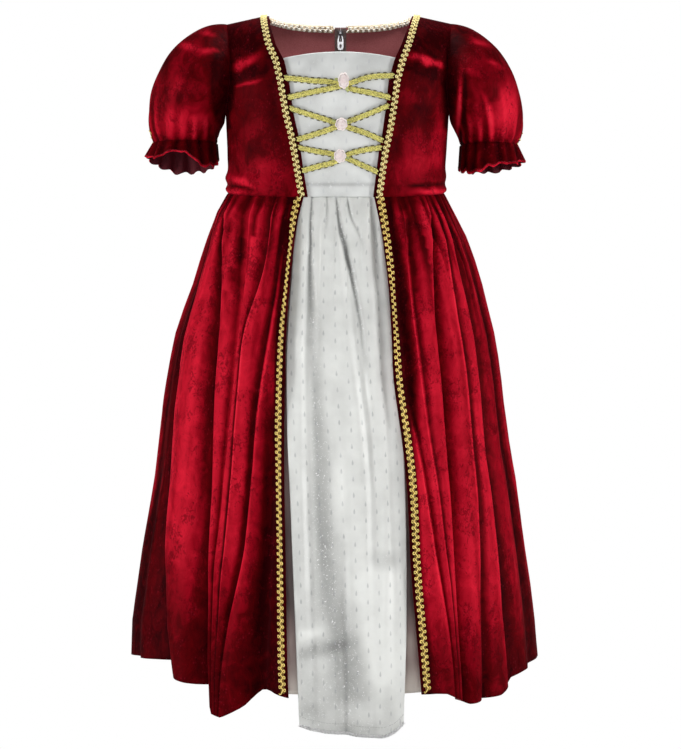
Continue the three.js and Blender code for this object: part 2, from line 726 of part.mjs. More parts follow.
function skirtFront(side) {
  const count = 4 * FRONT_GATHERS;
  const rows = SKIRT_HEIGHTS.map((height) => {
    const edge = read(FRONT_EDGE, sideName(side), height);
    const roll = read(FRONT_EDGE, "roll " + sideName(side), height);
    const rim = skirtHull(side, FRONT, edge, height);
    const perDegree = skirtHull(side, FRONT, edge + 1, height).sub(rim).length();
    const angles = [edge, edge + 1.2 / perDegree, edge + (1.2 + BRAID_WIDTH) / perDegree];
    angles.push(...columnAngles("front_" + sideName(side), angles[2], height, count).slice(1));
    return angles.map((angle, j) => {
      const p = skirtPoint(side, FRONT, angle, height, j < 3 ? 0 : ((j - 2) * Math.PI) / 2);
      const from = (angle - edge) * perDegree;
      const turned = roll * Math.pow(clamp(1 - from / 15, 0, 1), 1.5);
      p.y += turned;
      p.x += side * turned * 0.25;
      return p;
    });
  });
  const last = rows[0].length - 1;
  const hold = (i, j, n) => {
    if (i === 0) n.z = 0;
    if (j === last) n.set(side, 0, 0);
  };
  const made = thicken(rows, { low: -VELVET_WALL, high: 0, inside: bodyAxis, hold });
  add("skirt_front_" + sideName(side), made.geometry, velvet);
  const strip = rows.map((row) => [row[1], row[2]]);
  const stripHold = (i, j, n) => n.copy(made.normals[made.first[i] + 1 + j]);
  const trim = { low: SEAM_GAP, high: SEAM_GAP + BRAID_THICK, inside: bodyAxis, hold: stripHold };
  add("braid_skirt_" + sideName(side), thicken(strip, trim).geometry, gold);
}
function skirtBack(side) {
  const count = 4 * BACK_GATHERS;
  const rows = SKIRT_HEIGHTS.map((height) => {
    const angles = columnAngles("back_" + sideName(side), 0.05, height, count);
    return angles.map((angle, j) => skirtPoint(side, BACK, angle, height, (j * Math.PI) / 2));
  });
  const hold = (i, j, n) => {
    if (i === 0) n.z = 0;
    if (j === count) n.set(side, 0, 0);
    if (j === 0) n.set(0, 1, 0);
  };
  const made = thicken(rows, { low: -VELVET_WALL, high: 0, inside: bodyAxis, hold });
  add("skirt_back_" + sideName(side), made.geometry, velvet);
}

// Apron and underlay hang inside the open front
function frontPanelPoint(across, height, inset) {
  const side = across < 0 ? LEFT : RIGHT;
  const p = skirtHull(side, FRONT, skirtAngleOf(side, across, height), height);
  p.y += inset;
  return p;
}
function apron() {
  const count = 4 * APRON_GATHERS;
  const rows = SKIRT_HEIGHTS.map((height) => {
    const row = [];
    for (let j = 0; j <= count; j++) {
      const f = j / count;
      const x = mix(read(APRON, "left", height), read(APRON, "right", height), f);
      const rim = Math.pow(Math.abs(2 * f - 1), 2.5);
      let inset = mix(read(APRON, "inset at middle", height), read(APRON, "inset at edges", height), rim);
      inset += GATHER_DEPTH * (1 - ease(clamp(height / 0.13, 0, 1))) * (0.5 - 0.5 * Math.cos((j * Math.PI) / 2));
      for (const [places, depths] of APRON_TROUGHS.rows) {
        const off = (x - atLevel(places, height, LEVELS)) / 7;
        inset += ease(clamp(height / 0.08, 0, 1)) * atLevel(depths, height, LEVELS) * Math.exp(-off * off);
      }
      const p = frontPanelPoint(x, height, inset);
      const bottom = read(APRON_BOTTOM, "drop", x) - HEM_DROP;
      p.z -= bottom * Math.pow(height, 1.5);
      row.push(p);
    }
    return row;
  });
  const hold = (i, j, n) => {
    if (i === 0) n.z = 0;
  };
  add("apron", thicken(rows, { low: -SATIN_WALL, high: 0, inside: bodyAxis, hold }).geometry, satin);
}
function underlay() {
  const count = 10;
  const rows = SKIRT_HEIGHTS.map((height) => {
    const row = [];
    const left = -skirtHull(LEFT, FRONT, read(FRONT_EDGE, "left", height), height).x + 5;
    const right = skirtHull(RIGHT, FRONT, read(FRONT_EDGE, "right", height), height).x + 5;
    for (let j = 0; j <= count; j++) {
      const x = mix(-left, right, j / count);
      const inset = mix(5.6, 16, ease(clamp(height / 0.06, 0, 1))) + 3.5 * ease(clamp(height / 0.3, 0, 1)) - 4 * height;
      row.push(frontPanelPoint(x, height, inset));
    }
    return row;
  });
  const hold = (i, j, n) => {
    if (i === 0) n.z = 0;
  };
  add("skirt_underlay", thicken(rows, { low: -SATIN_WALL, high: 0, inside: bodyAxis, hold }).geometry, lining);
}

// Sleeves: a puff from the armhole to the elastic, then a frill, as one piece
const SLEEVE = {
  columns: ["side", "cuff middle", "cuff half width", "cuff half depth", "cuff drop", "swell", "rise"],
  rows: [
    [LEFT, 168.5, 35.5, 40, 136, 52, 15],
    [RIGHT, 161, 32, 40, 138, 40, 0],
  ],
};
const SLEEVE_COLUMNS = 24;
const PUFF_STEPS = [0, 0.07, 0.2, 0.36, 0.54, 0.72, 0.87];
const CUFF_STEPS = [0.95, 1];
const FRILL_STEPS = [0.35, 0.7, 1];
function armholePoint(side, angle) {
  // Angle 0 is the shoulder tip, 90 the front and 180 the underarm
  const face = angle <= 180 ? FRONT : BACK;
  const turn = angle <= 180 ? angle : 360 - angle;
  const drop = UNDERARM_DROP * (0.5 - 0.5 * Math.cos(turn * torad));
  const p = torsoPoint(side, face, drop, outerAcross(side, drop));
  return p;
}
function sleevePoint(side, angle, along) {
  const [, middle, halfWidth, halfDepth, cuffDrop, swell, rise] = SLEEVE.rows.find((r) => r[0] === side);
  const c = Math.cos(angle * torad);
  const s = Math.sin(angle * torad);
  const start = armholePoint(side, angle);
  start.x += side * (SEAM_GAP + 0.15);
  const tilt = 5 * s;
  const cuff = new THREE.Vector3(side * (middle + halfWidth * c), -halfDepth * s + 2, -cuffDrop + tilt);
  const up = Math.max(0, c);
  const down = Math.max(0, -c);
  const outOne = new THREE.Vector3(side * (swell * up + 24 * Math.abs(s) + 1.5 * down), -30 * s, rise * up - 10 * down);
  const one = start.clone().add(outOne);
  const outTwo = new THREE.Vector3(side * (21 * up - 1 * down), -27 * s, 50 * up + 42 * Math.abs(s) + 9 * down);
  const two = cuff.clone().add(outTwo);
  const t = Math.min(1, along);
  const a = (1 - t) ** 3;
  const b = 3 * (1 - t) ** 2 * t;
  const d = 3 * (1 - t) * t * t;
  const e = t ** 3;
  const p = start.multiplyScalar(a).addScaledVector(one, b).addScaledVector(two, d).addScaledVector(cuff, e);
  const around = new THREE.Vector3(side * c, -s, 0);
  const wave = Math.cos(SLEEVE_GATHERS * angle * torad);
  const near = ease(clamp((along - 0.72) / 0.28, 0, 1));
  if (along <= 1) {
    const keep = c < 0 ? 0.4 : 1;
    p.addScaledVector(around, -1.3 * near * keep * (0.5 - 0.5 * wave));
  } else {
    const f = along - 1;
    const inner = clamp(-c, 0, 1);
    p.addScaledVector(around, -1.3 * (1 - f) * (0.5 - 0.5 * wave) * (c < 0 ? 0.4 : 1));
    p.addScaledVector(around, f * (6 * (1 - 0.85 * inner) + 2.6 * wave * (1 - 0.8 * inner)));
    p.z -= FRILL_LENGTH * f * (1 + 0.05 * Math.cos(5 * angle * torad)) + 4 * f * (0.5 - 0.5 * s);
  }
  return p;
}
function sleeve(side) {
  const ring = (along, count) => {
    const row = [];
    for (let j = 0; j < count; j++) row.push(sleevePoint(side, (360 * j) / count, along));
    return row;
  };
  const rows = PUFF_STEPS.map((along) => ring(along, SLEEVE_COLUMNS));
  for (const along of CUFF_STEPS) rows.push(ring(along, 2 * SLEEVE_COLUMNS));
  for (const along of FRILL_STEPS) rows.push(ring(1 + along, 2 * SLEEVE_COLUMNS));
  const middle = SLEEVE.rows.find((r) => r[0] === side)[1];
  const inside = (p) => new THREE.Vector3(side * mix(118, middle, clamp((-20 - p.z) / 60, 0, 1)), 0, Math.min(p.z, -62));
  const hold = (i, j, n) => {
    if (i === 0) n.x = 0;
  };
  const made = thicken(rows, { closed: true, low: -VELVET_WALL, high: 0, inside, hold });
  add("sleeve_" + sideName(side), made.geometry, velvet);

  // Short braid tab at the elastic, on the outer side
  const from = PUFF_STEPS.length;
  const strip = [rows[from], rows[from + 1], rows[from + 2]].map((row) => [row[row.length - 1], row[0], row[1]]);
  const stripHold = (i, j, n) => {
    const row = from + i;
    const size = rows[row].length;
    n.copy(made.normals[made.first[row] + ((j - 1 + size) % size)]);
  };
  const trim = { low: SEAM_GAP, high: SEAM_GAP + 1.2, inside, hold: stripHold };
  add("braid_cuff_" + sideName(side), thicken(strip, trim).geometry, gold);
}

// Lacing over the insert
function lace([cross, strand, points]) {
  const over = strand === "b";
  const path = (x) => {
    if (x <= points[0][0]) return points[0][1];
    for (let i = 1; i < points.length; i++) {
      if (x <= points[i][0]) {
        return mix(points[i - 1][1], points[i][1], (x - points[i - 1][0]) / (points[i][0] - points[i - 1][0]));
      }
    }
    return points[points.length - 1][1];
  };
  const count = 12;
  const ends = [-1, 1].map((edge) => {
    const dropLeft = points[0][1] + (edge * LACE_WIDTH) / 2;
    const dropRight = points[points.length - 1][1] + (edge * LACE_WIDTH) / 2;
    return [-(braidAcross(LEFT, dropLeft, -1) - 0.4), braidAcross(RIGHT, dropRight, -1) - 0.4];
  });
  const rows = [];
  const places = [];
  for (let i = 0; i <= count; i++) {
    const f = i / count;
    const row = [-1, 1].map((edge, k) => {
      const x = mix(ends[k][0], ends[k][1], f);
      const p = torsoPoint(x < 0 ? LEFT : RIGHT, FRONT, path(x) + (edge * LACE_WIDTH) / 2, Math.abs(x));
      return p;
    });
    places.push(mix(ends[0][0], ends[0][1], f));
    rows.push(row);
  }
  const base = (i) => {
    const reach = Math.abs(places[i]);
    const rise = ease(clamp((reach - 28) / 10, 0, 1));
    return over ? mix(-0.45, 0.55, rise) : mix(-1.75, 0.55, rise);
  };
  const options = { low: (i) => base(i), high: (i) => base(i) + LACE_THICK, inside: bodyAxis };
  add("lacing_" + cross + "_" + strand, thicken(rows, options).geometry, gold);
}

// Ribbon rose: a low dome on the crossing
function rose(index, [across, drop, halfWidth, halfHeight]) {
  const foot = torsoPoint(across < 0 ? LEFT : RIGHT, FRONT, drop + halfHeight, Math.abs(across));
  foot.z = -drop;
  const levels = [[0.9, 0.95], [2.4, 1.03], [4.2, 0.85], [5.4, 0.45]];
  const rings = levels.map(([height, size]) => {
    const ring = [];
    for (let j = 0; j < 10; j++) {
      const angle = (36 * j + 8) * torad;
      const wavy = 1 + 0.05 * Math.cos(5 * angle);
      const x = foot.x + halfWidth * size * wavy * Math.cos(angle);
      const z = foot.z + halfHeight * size * wavy * Math.sin(angle);
      ring.push(new THREE.Vector3(x, foot.y - height, z));
    }
    return ring;
  });
  add("rose_" + index, swept(rings), pink);
}

// Zip slider with its bridge, and the pull tab that swings on it
const SLIDER_DROP = 18;
const SLIDER_TILT = 19 * torad;
const HINGE_OUT = 3.1;
const HINGE_DOWN = 1.6;
const tapeFace = torsoPoint(RIGHT, BACK, SLIDER_DROP, 0).y - VELVET_WALL - SEAM_GAP - 0.8;
const sliderFrame = new THREE.Matrix4();
sliderFrame.makeBasis(
  new THREE.Vector3(0, -Math.cos(SLIDER_TILT), -Math.sin(SLIDER_TILT)),
  new THREE.Vector3(0, Math.sin(SLIDER_TILT), -Math.cos(SLIDER_TILT)),
  new THREE.Vector3(1, 0, 0),
);
sliderFrame.setPosition(0, tapeFace, -SLIDER_DROP);
export const HINGE = new THREE.Vector3(HINGE_OUT, HINGE_DOWN, 0).applyMatrix4(sliderFrame);
function polygon(points, holes = []) {
  const shape = new THREE.Shape(points.map(([x, y]) => new THREE.Vector2(x, y)));
  for (const hole of holes) shape.holes.push(new THREE.Path(hole.map(([x, y]) => new THREE.Vector2(x, y))));
  return shape;
}
function plate(shape, thickness) {
  const geometry = new THREE.ExtrudeGeometry(shape, { depth: thickness, bevelEnabled: false });
  geometry.translate(0, 0, -thickness / 2);
  return geometry;
}
function zipSlider() {
  const arch = polygon(
    [[1.2, -3.6], [4.2, -3.3], [5.1, -2.2], [5.1, 2.6], [4.5, 3.4], [1.2, 3.4]],
    [[[1.9, -2.6], [1.9, 2.6], [4.3, 2.6], [4.3, -2]]],
  );
  const body = polygon([[0.4, -4], [1.9, -4.6], [1.9, 4.6], [0.4, 4.6]]);
  const geometry = united([plate(arch, 2.4), plate(body, 6.2)]);
  geometry.applyMatrix4(sliderFrame);
  add("zip_slider", geometry, silver);
}
function zipPull() {
  const outer = [[-1.9, 0.6], [1.9, 0.6], [2.9, -2.6], [3.3, -4.5], [3.3, -12.4], [2.3, -14.6], [0, -15.2]];
  outer.push([-2.3, -14.6], [-3.3, -12.4], [-3.3, -4.5], [-2.9, -2.6]);
  const eye = [[-1.5, -0.55], [-1.9, -5.9], [1.9, -5.9], [1.5, -0.55]];
  const oval = [];
  for (let k = 0; k < 12; k++) {
    const angle = 30 * k * torad;
    oval.push([1.35 * Math.cos(angle), -10.6 + 2.3 * Math.sin(angle)]);
  }
  const geometry = mergedCopy(plate(polygon(outer, [eye, oval]), 1));
  geometry.applyMatrix4(new THREE.Matrix4().makeRotationX(Math.PI / 2));
  geometry.translate(HINGE.x, HINGE.y, HINGE.z);
  add("zip_pull", geometry, silver);
}

for (const side of [LEFT, RIGHT]) {
  bodiceFront(side);
  bodiceBack(side);
  skirtFront(side);
  skirtBack(side);
  sleeve(side);
}
bodiceInsert();
apron();
underlay();
for (const row of LACES.rows) lace(row);
ROSES.rows.forEach((row, k) => rose(k + 1, row));
zipSlider();
zipPull();

export default dress;
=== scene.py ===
# %% [markdown]
# # Princess costume dress
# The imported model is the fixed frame. Each cell adds one group of looks around it: cloth shells on the forms of
# their solids, braid made of instanced scrolls, ribbon roses, the zip, and then the floor, lights and camera.

# %% Load the frame
import bpy
import math
import numpy as np
from mathutils import Matrix, Vector


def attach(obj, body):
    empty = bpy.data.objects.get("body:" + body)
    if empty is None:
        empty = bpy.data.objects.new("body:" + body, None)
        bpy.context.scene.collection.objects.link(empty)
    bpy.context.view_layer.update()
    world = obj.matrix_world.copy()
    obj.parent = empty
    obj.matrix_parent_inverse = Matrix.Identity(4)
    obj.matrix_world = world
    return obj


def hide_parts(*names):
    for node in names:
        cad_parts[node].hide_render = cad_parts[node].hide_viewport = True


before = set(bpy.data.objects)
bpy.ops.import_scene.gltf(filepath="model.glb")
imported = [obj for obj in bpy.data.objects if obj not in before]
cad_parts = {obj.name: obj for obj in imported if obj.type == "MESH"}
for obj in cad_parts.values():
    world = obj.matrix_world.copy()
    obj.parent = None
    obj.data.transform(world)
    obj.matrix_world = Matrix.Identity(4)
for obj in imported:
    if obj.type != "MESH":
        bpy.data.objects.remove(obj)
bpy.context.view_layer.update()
MM = 0.001
BODY = "garment"
LEFT, RIGHT, FRONT, BACK = -1, 1, -1, 1
print("pieces in the frame:", len(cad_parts))

# %% [markdown]
# ## Sizes
# The same named sizes and tables as the solids, in millimetres. Each table has one row a height or drop.

# %% Sizes and tables
WAIST, HEM, UNDERARM, NECK_HALF = 189.0, 705.0, 105.0, 82.0
VELVET, SATIN, GAP = 1.6, 1.2, 0.3
BRAID, LACE = 10.0, 7.0
ROUND = 2.4  # how square the torso's section is; 2 would be an ellipse
SHELL_WALL = VELVET - 0.2  # a velvet shell is a little thinner than the solid that it covers
TORSO_CORE, SKIRT_CORE = np.array([0, 0, -90]), np.array([0, 0, -400])  # points inside, to tell which way is out
SIDE = {LEFT: "left", RIGHT: "right"}

TORSO = {"drop": [0, 60, 105, 140, 189], LEFT: [132, 131, 124, 122.5, 122], RIGHT: [128, 126, 117, 115, 112]}
TORSO_DEPTH = {FRONT: 86.0, BACK: 80.0}
ARMHOLE = {"drop": [0, 15, 40, 70, 90, 105], LEFT: [122, 119, 116.5, 117.5, 120.5, 124],
           RIGHT: [119, 116, 113, 112.5, 114, 117]}
NECK = {"drop": [0, 7, 30, 47, 68, 86, 105, 123, 142, 160, 189],
        LEFT: [82, 81, 75.5, 67.5, 62.6, 59.6, 56.3, 51.6, 48.2, 45.3, 40.5],
        RIGHT: [82, 79, 71.5, 64.8, 59, 56.8, 54, 51, 46.8, 44.3, 40.5],
        "margin": [0.5, 1, 2.5, 3.5, 3.5, 3, 2.5, 2, 1.5, 1.2, 1]}
SKIRT = {"drop": [189, 210, 236, 263, 289, 315, 342, 368, 395, 422, 462, 502, 543, 584, 625, 666, 707],
         LEFT: [122, 135, 144.5, 153.5, 161.5, 171.5, 180.5, 186, 191, 195.5, 200.5, 205.5, 212.5, 220, 226, 232,
                234],
         RIGHT: [112, 123.5, 137, 147, 155, 161.5, 168.5, 173, 177, 180, 185, 193, 199, 205, 211.5, 216.5, 220],
         "front": [86, 97, 106, 113, 120, 127, 133, 138, 142, 145, 149, 154, 160, 165.5, 170.5, 175, 178],
         "back": [80, 91, 100, 107, 114, 121, 128, 133, 137, 141, 145, 150, 156, 161, 166, 171, 174]}
FOLD_LEVELS = [0.04, 0.12, 0.25, 0.4, 0.55, 0.7, 0.85, 1]
DROP_SPAN = 1.3  # degrees from a fold's visible edge to the crease behind it
FOLDS = [
    # face, side, crest angles at the levels, drops beyond the crest at the levels
    (FRONT, LEFT, [19.5, 19.5, 20, 23, 24.6, 26, 29.6, 31.2], [0, 0, 1, 7, 9, 10, 7, 2]),
    (FRONT, LEFT, [28.5, 27.5, 30.5, 30.4, 30.5, 31.5, 32, 32.2], [5, 6, 2, 0, 0, 0, 0, 0]),
    (FRONT, LEFT, [42.5, 39, 34, 33, 33.9, 34.6, 34, 33.1], [6, 8, 9, 9, 8, 6, 2, 0]),
    (FRONT, LEFT, [66, 57, 46.3, 42.6, 40.3, 38, 35.5, 33.9], [3, 8, 13, 16, 17, 19, 22, 26]),
    (FRONT, LEFT, [76, 73, 70, 67, 65.5, 62.5, 56.8, 50.6], [0, 1, 3, 5, 8, 11, 14, 15]),
    (FRONT, RIGHT, [19.5, 19.5, 19.5, 20.3, 24.2, 26.8, 29.6, 31.4], [0, 0, 0, 3, 6, 8, 8, 3]),
    (FRONT, RIGHT, [29.2, 25.5, 24, 25, 28, 29.5, 31.3, 32.5], [5, 6, 2, 0, 0, 0, 0, 0]),
    (FRONT, RIGHT, [48.8, 41, 35.5, 35.2, 35.1, 33.8, 33, 33.6], [6, 9, 11, 12, 12, 12, 13, 14]),
    (FRONT, RIGHT, [54, 49, 46, 46, 46, 45, 43, 42], [1, 0, 0, 0, 0, 3, 7, 9]),
    (FRONT, RIGHT, [62, 57, 57, 56, 55.5, 55.4, 54.8, 54.5], [4, 6, 8, 9, 9, 9, 8, 6]),
    (BACK, LEFT, [22, 21, 20, 19.5, 19, 19, 19, 19.5], [4, 7, 9, 10, 11, 11, 12, 12]),
    (BACK, LEFT, [40, 38, 37, 36.5, 36, 35.5, 36, 36.5], [3, 6, 9, 11, 12, 13, 13, 14]),
    (BACK, LEFT, [57, 55, 53.5, 53, 52.5, 52, 52, 51.5], [4, 7, 9, 10, 11, 12, 14, 14]),
    (BACK, LEFT, [72, 71, 70, 69.5, 69, 68.5, 68, 68], [3, 5, 6, 7, 8, 9, 10, 10]),
    (BACK, RIGHT, [19, 19, 19.5, 20, 20, 20.5, 20.5, 20], [4, 6, 8, 10, 11, 12, 12, 12]),
    (BACK, RIGHT, [36, 35, 34.5, 34, 34.5, 35, 35, 35], [4, 7, 9, 10, 11, 12, 13, 13]),
    (BACK, RIGHT, [53, 52, 51, 50.5, 50, 49.5, 49, 49.5], [4, 6, 8, 10, 11, 12, 13, 14]),
    (BACK, RIGHT, [70, 69, 68, 67, 67, 66.5, 66, 66], [3, 5, 6, 8, 9, 9, 10, 10]),
]
HOLLOWS = [
    # face, side, angles at the levels, depths at the levels, half width in degrees
    (FRONT, LEFT, [18, 18, 18, 18.3, 18.8, 19.3, 19.6, 20], [0, 0, 0, 4, 10, 13, 15, 15], 3.6),
    (FRONT, LEFT, [82, 81, 80, 79, 78, 77, 76, 75], [2, 3, 4, 5, 5, 6, 7, 8], 5),
    (FRONT, RIGHT, [21, 20.5, 20.5, 21, 22, 24, 24, 24], [4, 7, 8, 5, 0, 0, 0, 0], 3),
    (FRONT, RIGHT, [77, 76, 75.5, 75, 75, 75, 75, 75], [2, 4, 5, 6, 6, 7, 7, 7], 5),
]
EDGE = {"height": [0, 0.06, 0.12, 0.2, 0.28, 0.36, 0.5, 0.75, 1],
        LEFT: [15, 15, 15, 15, 15, 15, 15, 13.2, 12], RIGHT: [15, 15, 15, 15, 15, 15.5, 18, 19, 21],
        "roll": {LEFT: [0, 6, 9, 8.5, 4, 0, 0, 0, 0], RIGHT: [0, 3, 4, 6.5, 4, 0, 0, 0, 0]}}
HEM_DROP = {"angle": [-180, -150, -120, -90, -80, -68, -60, -52.6, -50.6, -45, -38, -35.6, -33.9, -31, -28, -24.5,
                      -22, -20.5, -17, -12, 0, 21, 26, 29, 31.5, 34, 37.5, 43, 50, 55.5, 57.5, 64.5, 78, 90, 120, 150,
                      180],
            "extra": [-3, 6, -4, -2, -8, -15, -19, -22, -6, -5, -3, -1, 24, 27, 21, 13, 1,
                      -4, -4, 0, 0, -2, -1, 0.5, 5, 9.5, 16, 14, 13, 7, -1, -3, -3, -2, 5, -3, -3]}
LEVELS = [0.08, 0.25, 0.5, 0.75, 1.0]
APRON = {"height": [0, 0.06, 0.12, 0.2, 0.3, 0.4, 0.6, 0.8, 1],
         "left": [-47, -49, -50, -53, -56, -56, -52, -47.5, -43], "right": [47, 49, 50, 53, 57, 63, 68, 69, 66],
         "edge": [2.6, 10, 13, 13, 9, 5, 4, 4, 4], "middle": [2.6, 5, 7, 8, 7, 5, 4, 3, 3]}
APRON_TROUGHS = [([-27, -34, -34, -30, -24], [3, 4, 4, 4, 3]), ([-12, -14, -14, -14, -12], [2, 0, 0, 0, 0]),
                 ([3, 15, 32, 36, 36], [3, 4, 4, 3, 3]), ([12, 26, 30, 30, 30], [3, 0, 0, 0, 0]),
                 ([34, 42, 52, 56, 56], [3, 3, 2, 2, 2]), ([-2, -4, 0, 4, 6], [0, 0, 2, 4, 4])]
APRON_BOTTOM = ([-47, -30, 0, 25, 45, 58, 69], [735, 741, 745, 748, 749, 744, 732])
# The middle, half width, half depth and drop of the cuff, then how far the top swells out and rises
SLEEVE = {LEFT: (168.5, 35.5, 40.0, 136.0, 46.0, 8.0), RIGHT: (161.0, 32.0, 40.0, 138.0, 40.0, 0.0)}
FRILL = {"angle": [0, 25, 45, 65, 81, 96, 108, 122, 150, 180, 215, 235, 260, 280, 315, 340, 360],
         LEFT: [15, 17, 18, 13, 11, 13, 19, 27, 25, 19, 24, 28, 30, 30, 25, 18, 15],
         RIGHT: [17, 20, 22, 23, 24, 26, 30, 32, 30, 26, 26, 27, 28, 27, 23, 19, 17]}
SLEEVE_GATHERS = 16
LACES = [
    (1, "a", [(-57.6, 65.5), (-31, 68), (-4.7, 70.7), (8.8, 75.9), (30, 80.4), (51.9, 85.7)]),
    (1, "b", [(-54.5, 85.7), (-30, 80), (-4.7, 74.8), (9.9, 70.7), (28.5, 64.9), (55.5, 63)]),
    (2, "a", [(-52.4, 96.6), (-31.7, 103.4), (-9.9, 110.1), (9.3, 116.8), (26.5, 122.5), (43, 129.8)]),
    (2, "b", [(-45.2, 129.3), (-26.5, 123.6), (-8.3, 117.4), (9.3, 110.1), (28.5, 102.8), (48.3, 94.5)]),
    (3, "a", [(-43, 137.6), (-26.5, 141.2), (-8.3, 144.3), (8.8, 149.5), (22.3, 155.7), (38.9, 163)]),
    (3, "b", [(-41, 162), (-22.3, 156.8), (-6.7, 152.6), (8.8, 144.3), (24.4, 140.2), (42, 137.6)]),
]
ROSES = [(3.3, 68, 6.4, 9.4), (0.9, 113, 7.1, 7.4), (-0.5, 146, 7.1, 7.8)]  # across, drop, half width, half height
print("roses:", len(ROSES), "hem, mm:", HEM)


# %% [markdown]
# ## Tools
# Small vector functions: easing, table reading, smooth noise, and shells of cloth with a face and an inner side.

# %% Vector tools
def clamp(v, a, b):
    return np.minimum(b, np.maximum(a, v))


def ease(f):
    f = clamp(f, 0.0, 1.0)
    return f * f * (3 - 2 * f)


def mix(a, b, f):
    return a + (b - a) * f


def smooth_read(at, xs, ys):
    """A table read along a smooth curve, so that no kink shows between its rows."""
    xs, ys = np.asarray(xs, float), np.asarray(ys, float)
    slope = np.gradient(ys, xs)
    at = clamp(at, xs[0], xs[-1])
    i = clamp(np.searchsorted(xs, at, side="right") - 1, 0, len(xs) - 2).astype(int)
    h = xs[i + 1] - xs[i]
    t = (at - xs[i]) / h
    return ((2 * t**3 - 3 * t**2 + 1) * ys[i] + (t**3 - 2 * t**2 + t) * h * slope[i]
            + (3 * t**2 - 2 * t**3) * ys[i + 1] + (t**3 - t**2) * h * slope[i + 1])


def hashed(ix, iy, seed):
    n = (ix * 374761393 + iy * 668265263 + seed * 1442695041) & 0xFFFFFFFF
    n = ((n ^ (n >> 13)) * 1274126177) & 0xFFFFFFFF
    return ((n ^ (n >> 16)) & 0xFFFF) / 65535.0


def noise(x, y, seed):
    """Smooth noise from -1 to 1 on a plane."""
    x, y = np.broadcast_arrays(np.asarray(x, float), np.asarray(y, float))
    ix, iy = np.floor(x).astype(np.int64), np.floor(y).astype(np.int64)
    fx, fy = ease(x - ix), ease(y - iy)
    a = mix(hashed(ix, iy, seed), hashed(ix + 1, iy, seed), fx)
    b = mix(hashed(ix, iy + 1, seed), hashed(ix + 1, iy + 1, seed), fx)
    return 2 * mix(a, b, fy) - 1


def unit(v):
    return v / np.maximum(np.linalg.norm(v, axis=-1, keepdims=True), 1e-12)


def grid_normals(p, outward, closed=False):
    """Normals of a grid of points, turned to the side that outward points to."""
    down = np.gradient(p, axis=0)
    if closed:
        across = np.roll(p, -1, axis=1) - np.roll(p, 1, axis=1)
    else:
        across = np.gradient(p, axis=1)
    n = unit(np.cross(down, across))
    if np.sum(n * outward) < 0:
        n = -n
    return n


print("noise at a point:", round(float(noise(np.array([0.3]), np.array([0.7]), 1)[0]), 3))

# %% [markdown]
# ### Cloth shells
# A piece of cloth is a grid of points with a face and an inner side, closed along its rims. A Solidify modifier
# could thicken it, but building both sides here keeps two materials, the cloth's own lengths and the painted
# light and shade.


# %% Meshes and cloth shells
def new_mesh(name, points, faces, materials, indices=None, uv=None, nap_and_painted_light=None):
    mesh = bpy.data.meshes.new(name)
    mesh.from_pydata((np.asarray(points) * MM).tolist(), [], [tuple(int(i) for i in f) for f in faces])
    for m in materials:
        mesh.materials.append(m)
    if indices is not None:
        mesh.polygons.foreach_set("material_index", np.asarray(indices, np.int32))
    mesh.polygons.foreach_set("use_smooth", np.ones(len(mesh.polygons), bool))
    if uv is not None:
        layer = mesh.uv_layers.new(name="cloth")
        loops = np.empty(len(mesh.loops), np.int32)
        mesh.loops.foreach_get("vertex_index", loops)
        layer.data.foreach_set("uv", np.asarray(uv, float)[loops].ravel())
    # painted light and shade at each point, from 0 dark to 1 bright
    if nap_and_painted_light is not None:
        shade = clamp(np.asarray(nap_and_painted_light, float), 0, 1).ravel()
        mesh.attributes.new("nap_and_painted_light", "FLOAT", "POINT").data.foreach_set("value", shade)
    mesh.update()
    obj = bpy.data.objects.new(name, mesh)
    bpy.context.scene.collection.objects.link(obj)
    return obj


def shell(name, p, normals, thick, face_material, inner_material, closed=False, uv=None, lift=0.0, nap_and_painted_light=None):
    """A cloth piece: its face on the given points, its inner side a wall's thickness behind, and a closed rim."""
    rows, cols, _ = p.shape
    outer = p + normals * lift
    inner = p - normals * (thick - lift)
    points = np.concatenate([outer.reshape(-1, 3), inner.reshape(-1, 3)])
    count = rows * cols
    index = np.arange(count).reshape(rows, cols)
    right = np.roll(index, -1, axis=1) if closed else index[:, 1:]
    left = index if closed else index[:, :-1]
    a, b, c, d = left[:-1].ravel(), left[1:].ravel(), right[1:].ravel(), right[:-1].ravel()
    quads = np.stack([a, b, c, d], axis=1)
    flat = outer.reshape(-1, 3)
    sample = np.cross(flat[b] - flat[a], flat[d] - flat[a])
    if np.sum(sample * normals.reshape(-1, 3)[a]) < 0:
        quads = quads[:, ::-1]
    flip = quads[0][0] != a[0]
    faces = [quads, quads[:, ::-1] + count]
    kinds = [np.zeros(len(quads), int), np.ones(len(quads), int)]

    def rim(line, turn):
        s, t = line[:-1], line[1:]
        r = np.stack([t, s, s + count, t + count], axis=1)
        if turn:
            r = r[:, ::-1]
        faces.append(r)
        kinds.append(np.zeros(len(r), int))

    def loop(line):
        return np.append(line, line[0]) if closed else line

    rim(loop(index[0]), not flip)
    rim(loop(index[-1]), flip)
    if not closed:
        rim(index[:, 0], flip)
        rim(index[:, -1], not flip)
    uvs = None
    if uv is not None:
        uvs = np.concatenate([uv.reshape(-1, 2), uv.reshape(-1, 2)])
    painted_light_values = None if nap_and_painted_light is None else np.concatenate([nap_and_painted_light.ravel(), nap_and_painted_light.ravel()])
    return new_mesh(name, points, np.concatenate(faces), [face_material, inner_material], np.concatenate(kinds), uvs,
                    painted_light_values)


def cloth_uv(p):
    """Lengths along and down the cloth in metres, so that a weave keeps its size."""
    across = np.linalg.norm(np.diff(p, axis=1), axis=-1)
    across = np.concatenate([np.zeros((p.shape[0], 1)), np.cumsum(across, axis=1)], axis=1)
    middle = across.shape[1] // 2
    across = across - across[:, middle:middle + 1]
    down = np.linalg.norm(np.diff(p, axis=0), axis=-1)
    down = np.concatenate([np.zeros((1, p.shape[1])), np.cumsum(down, axis=0)], axis=0)
    return np.stack([across, -down], axis=-1) * MM


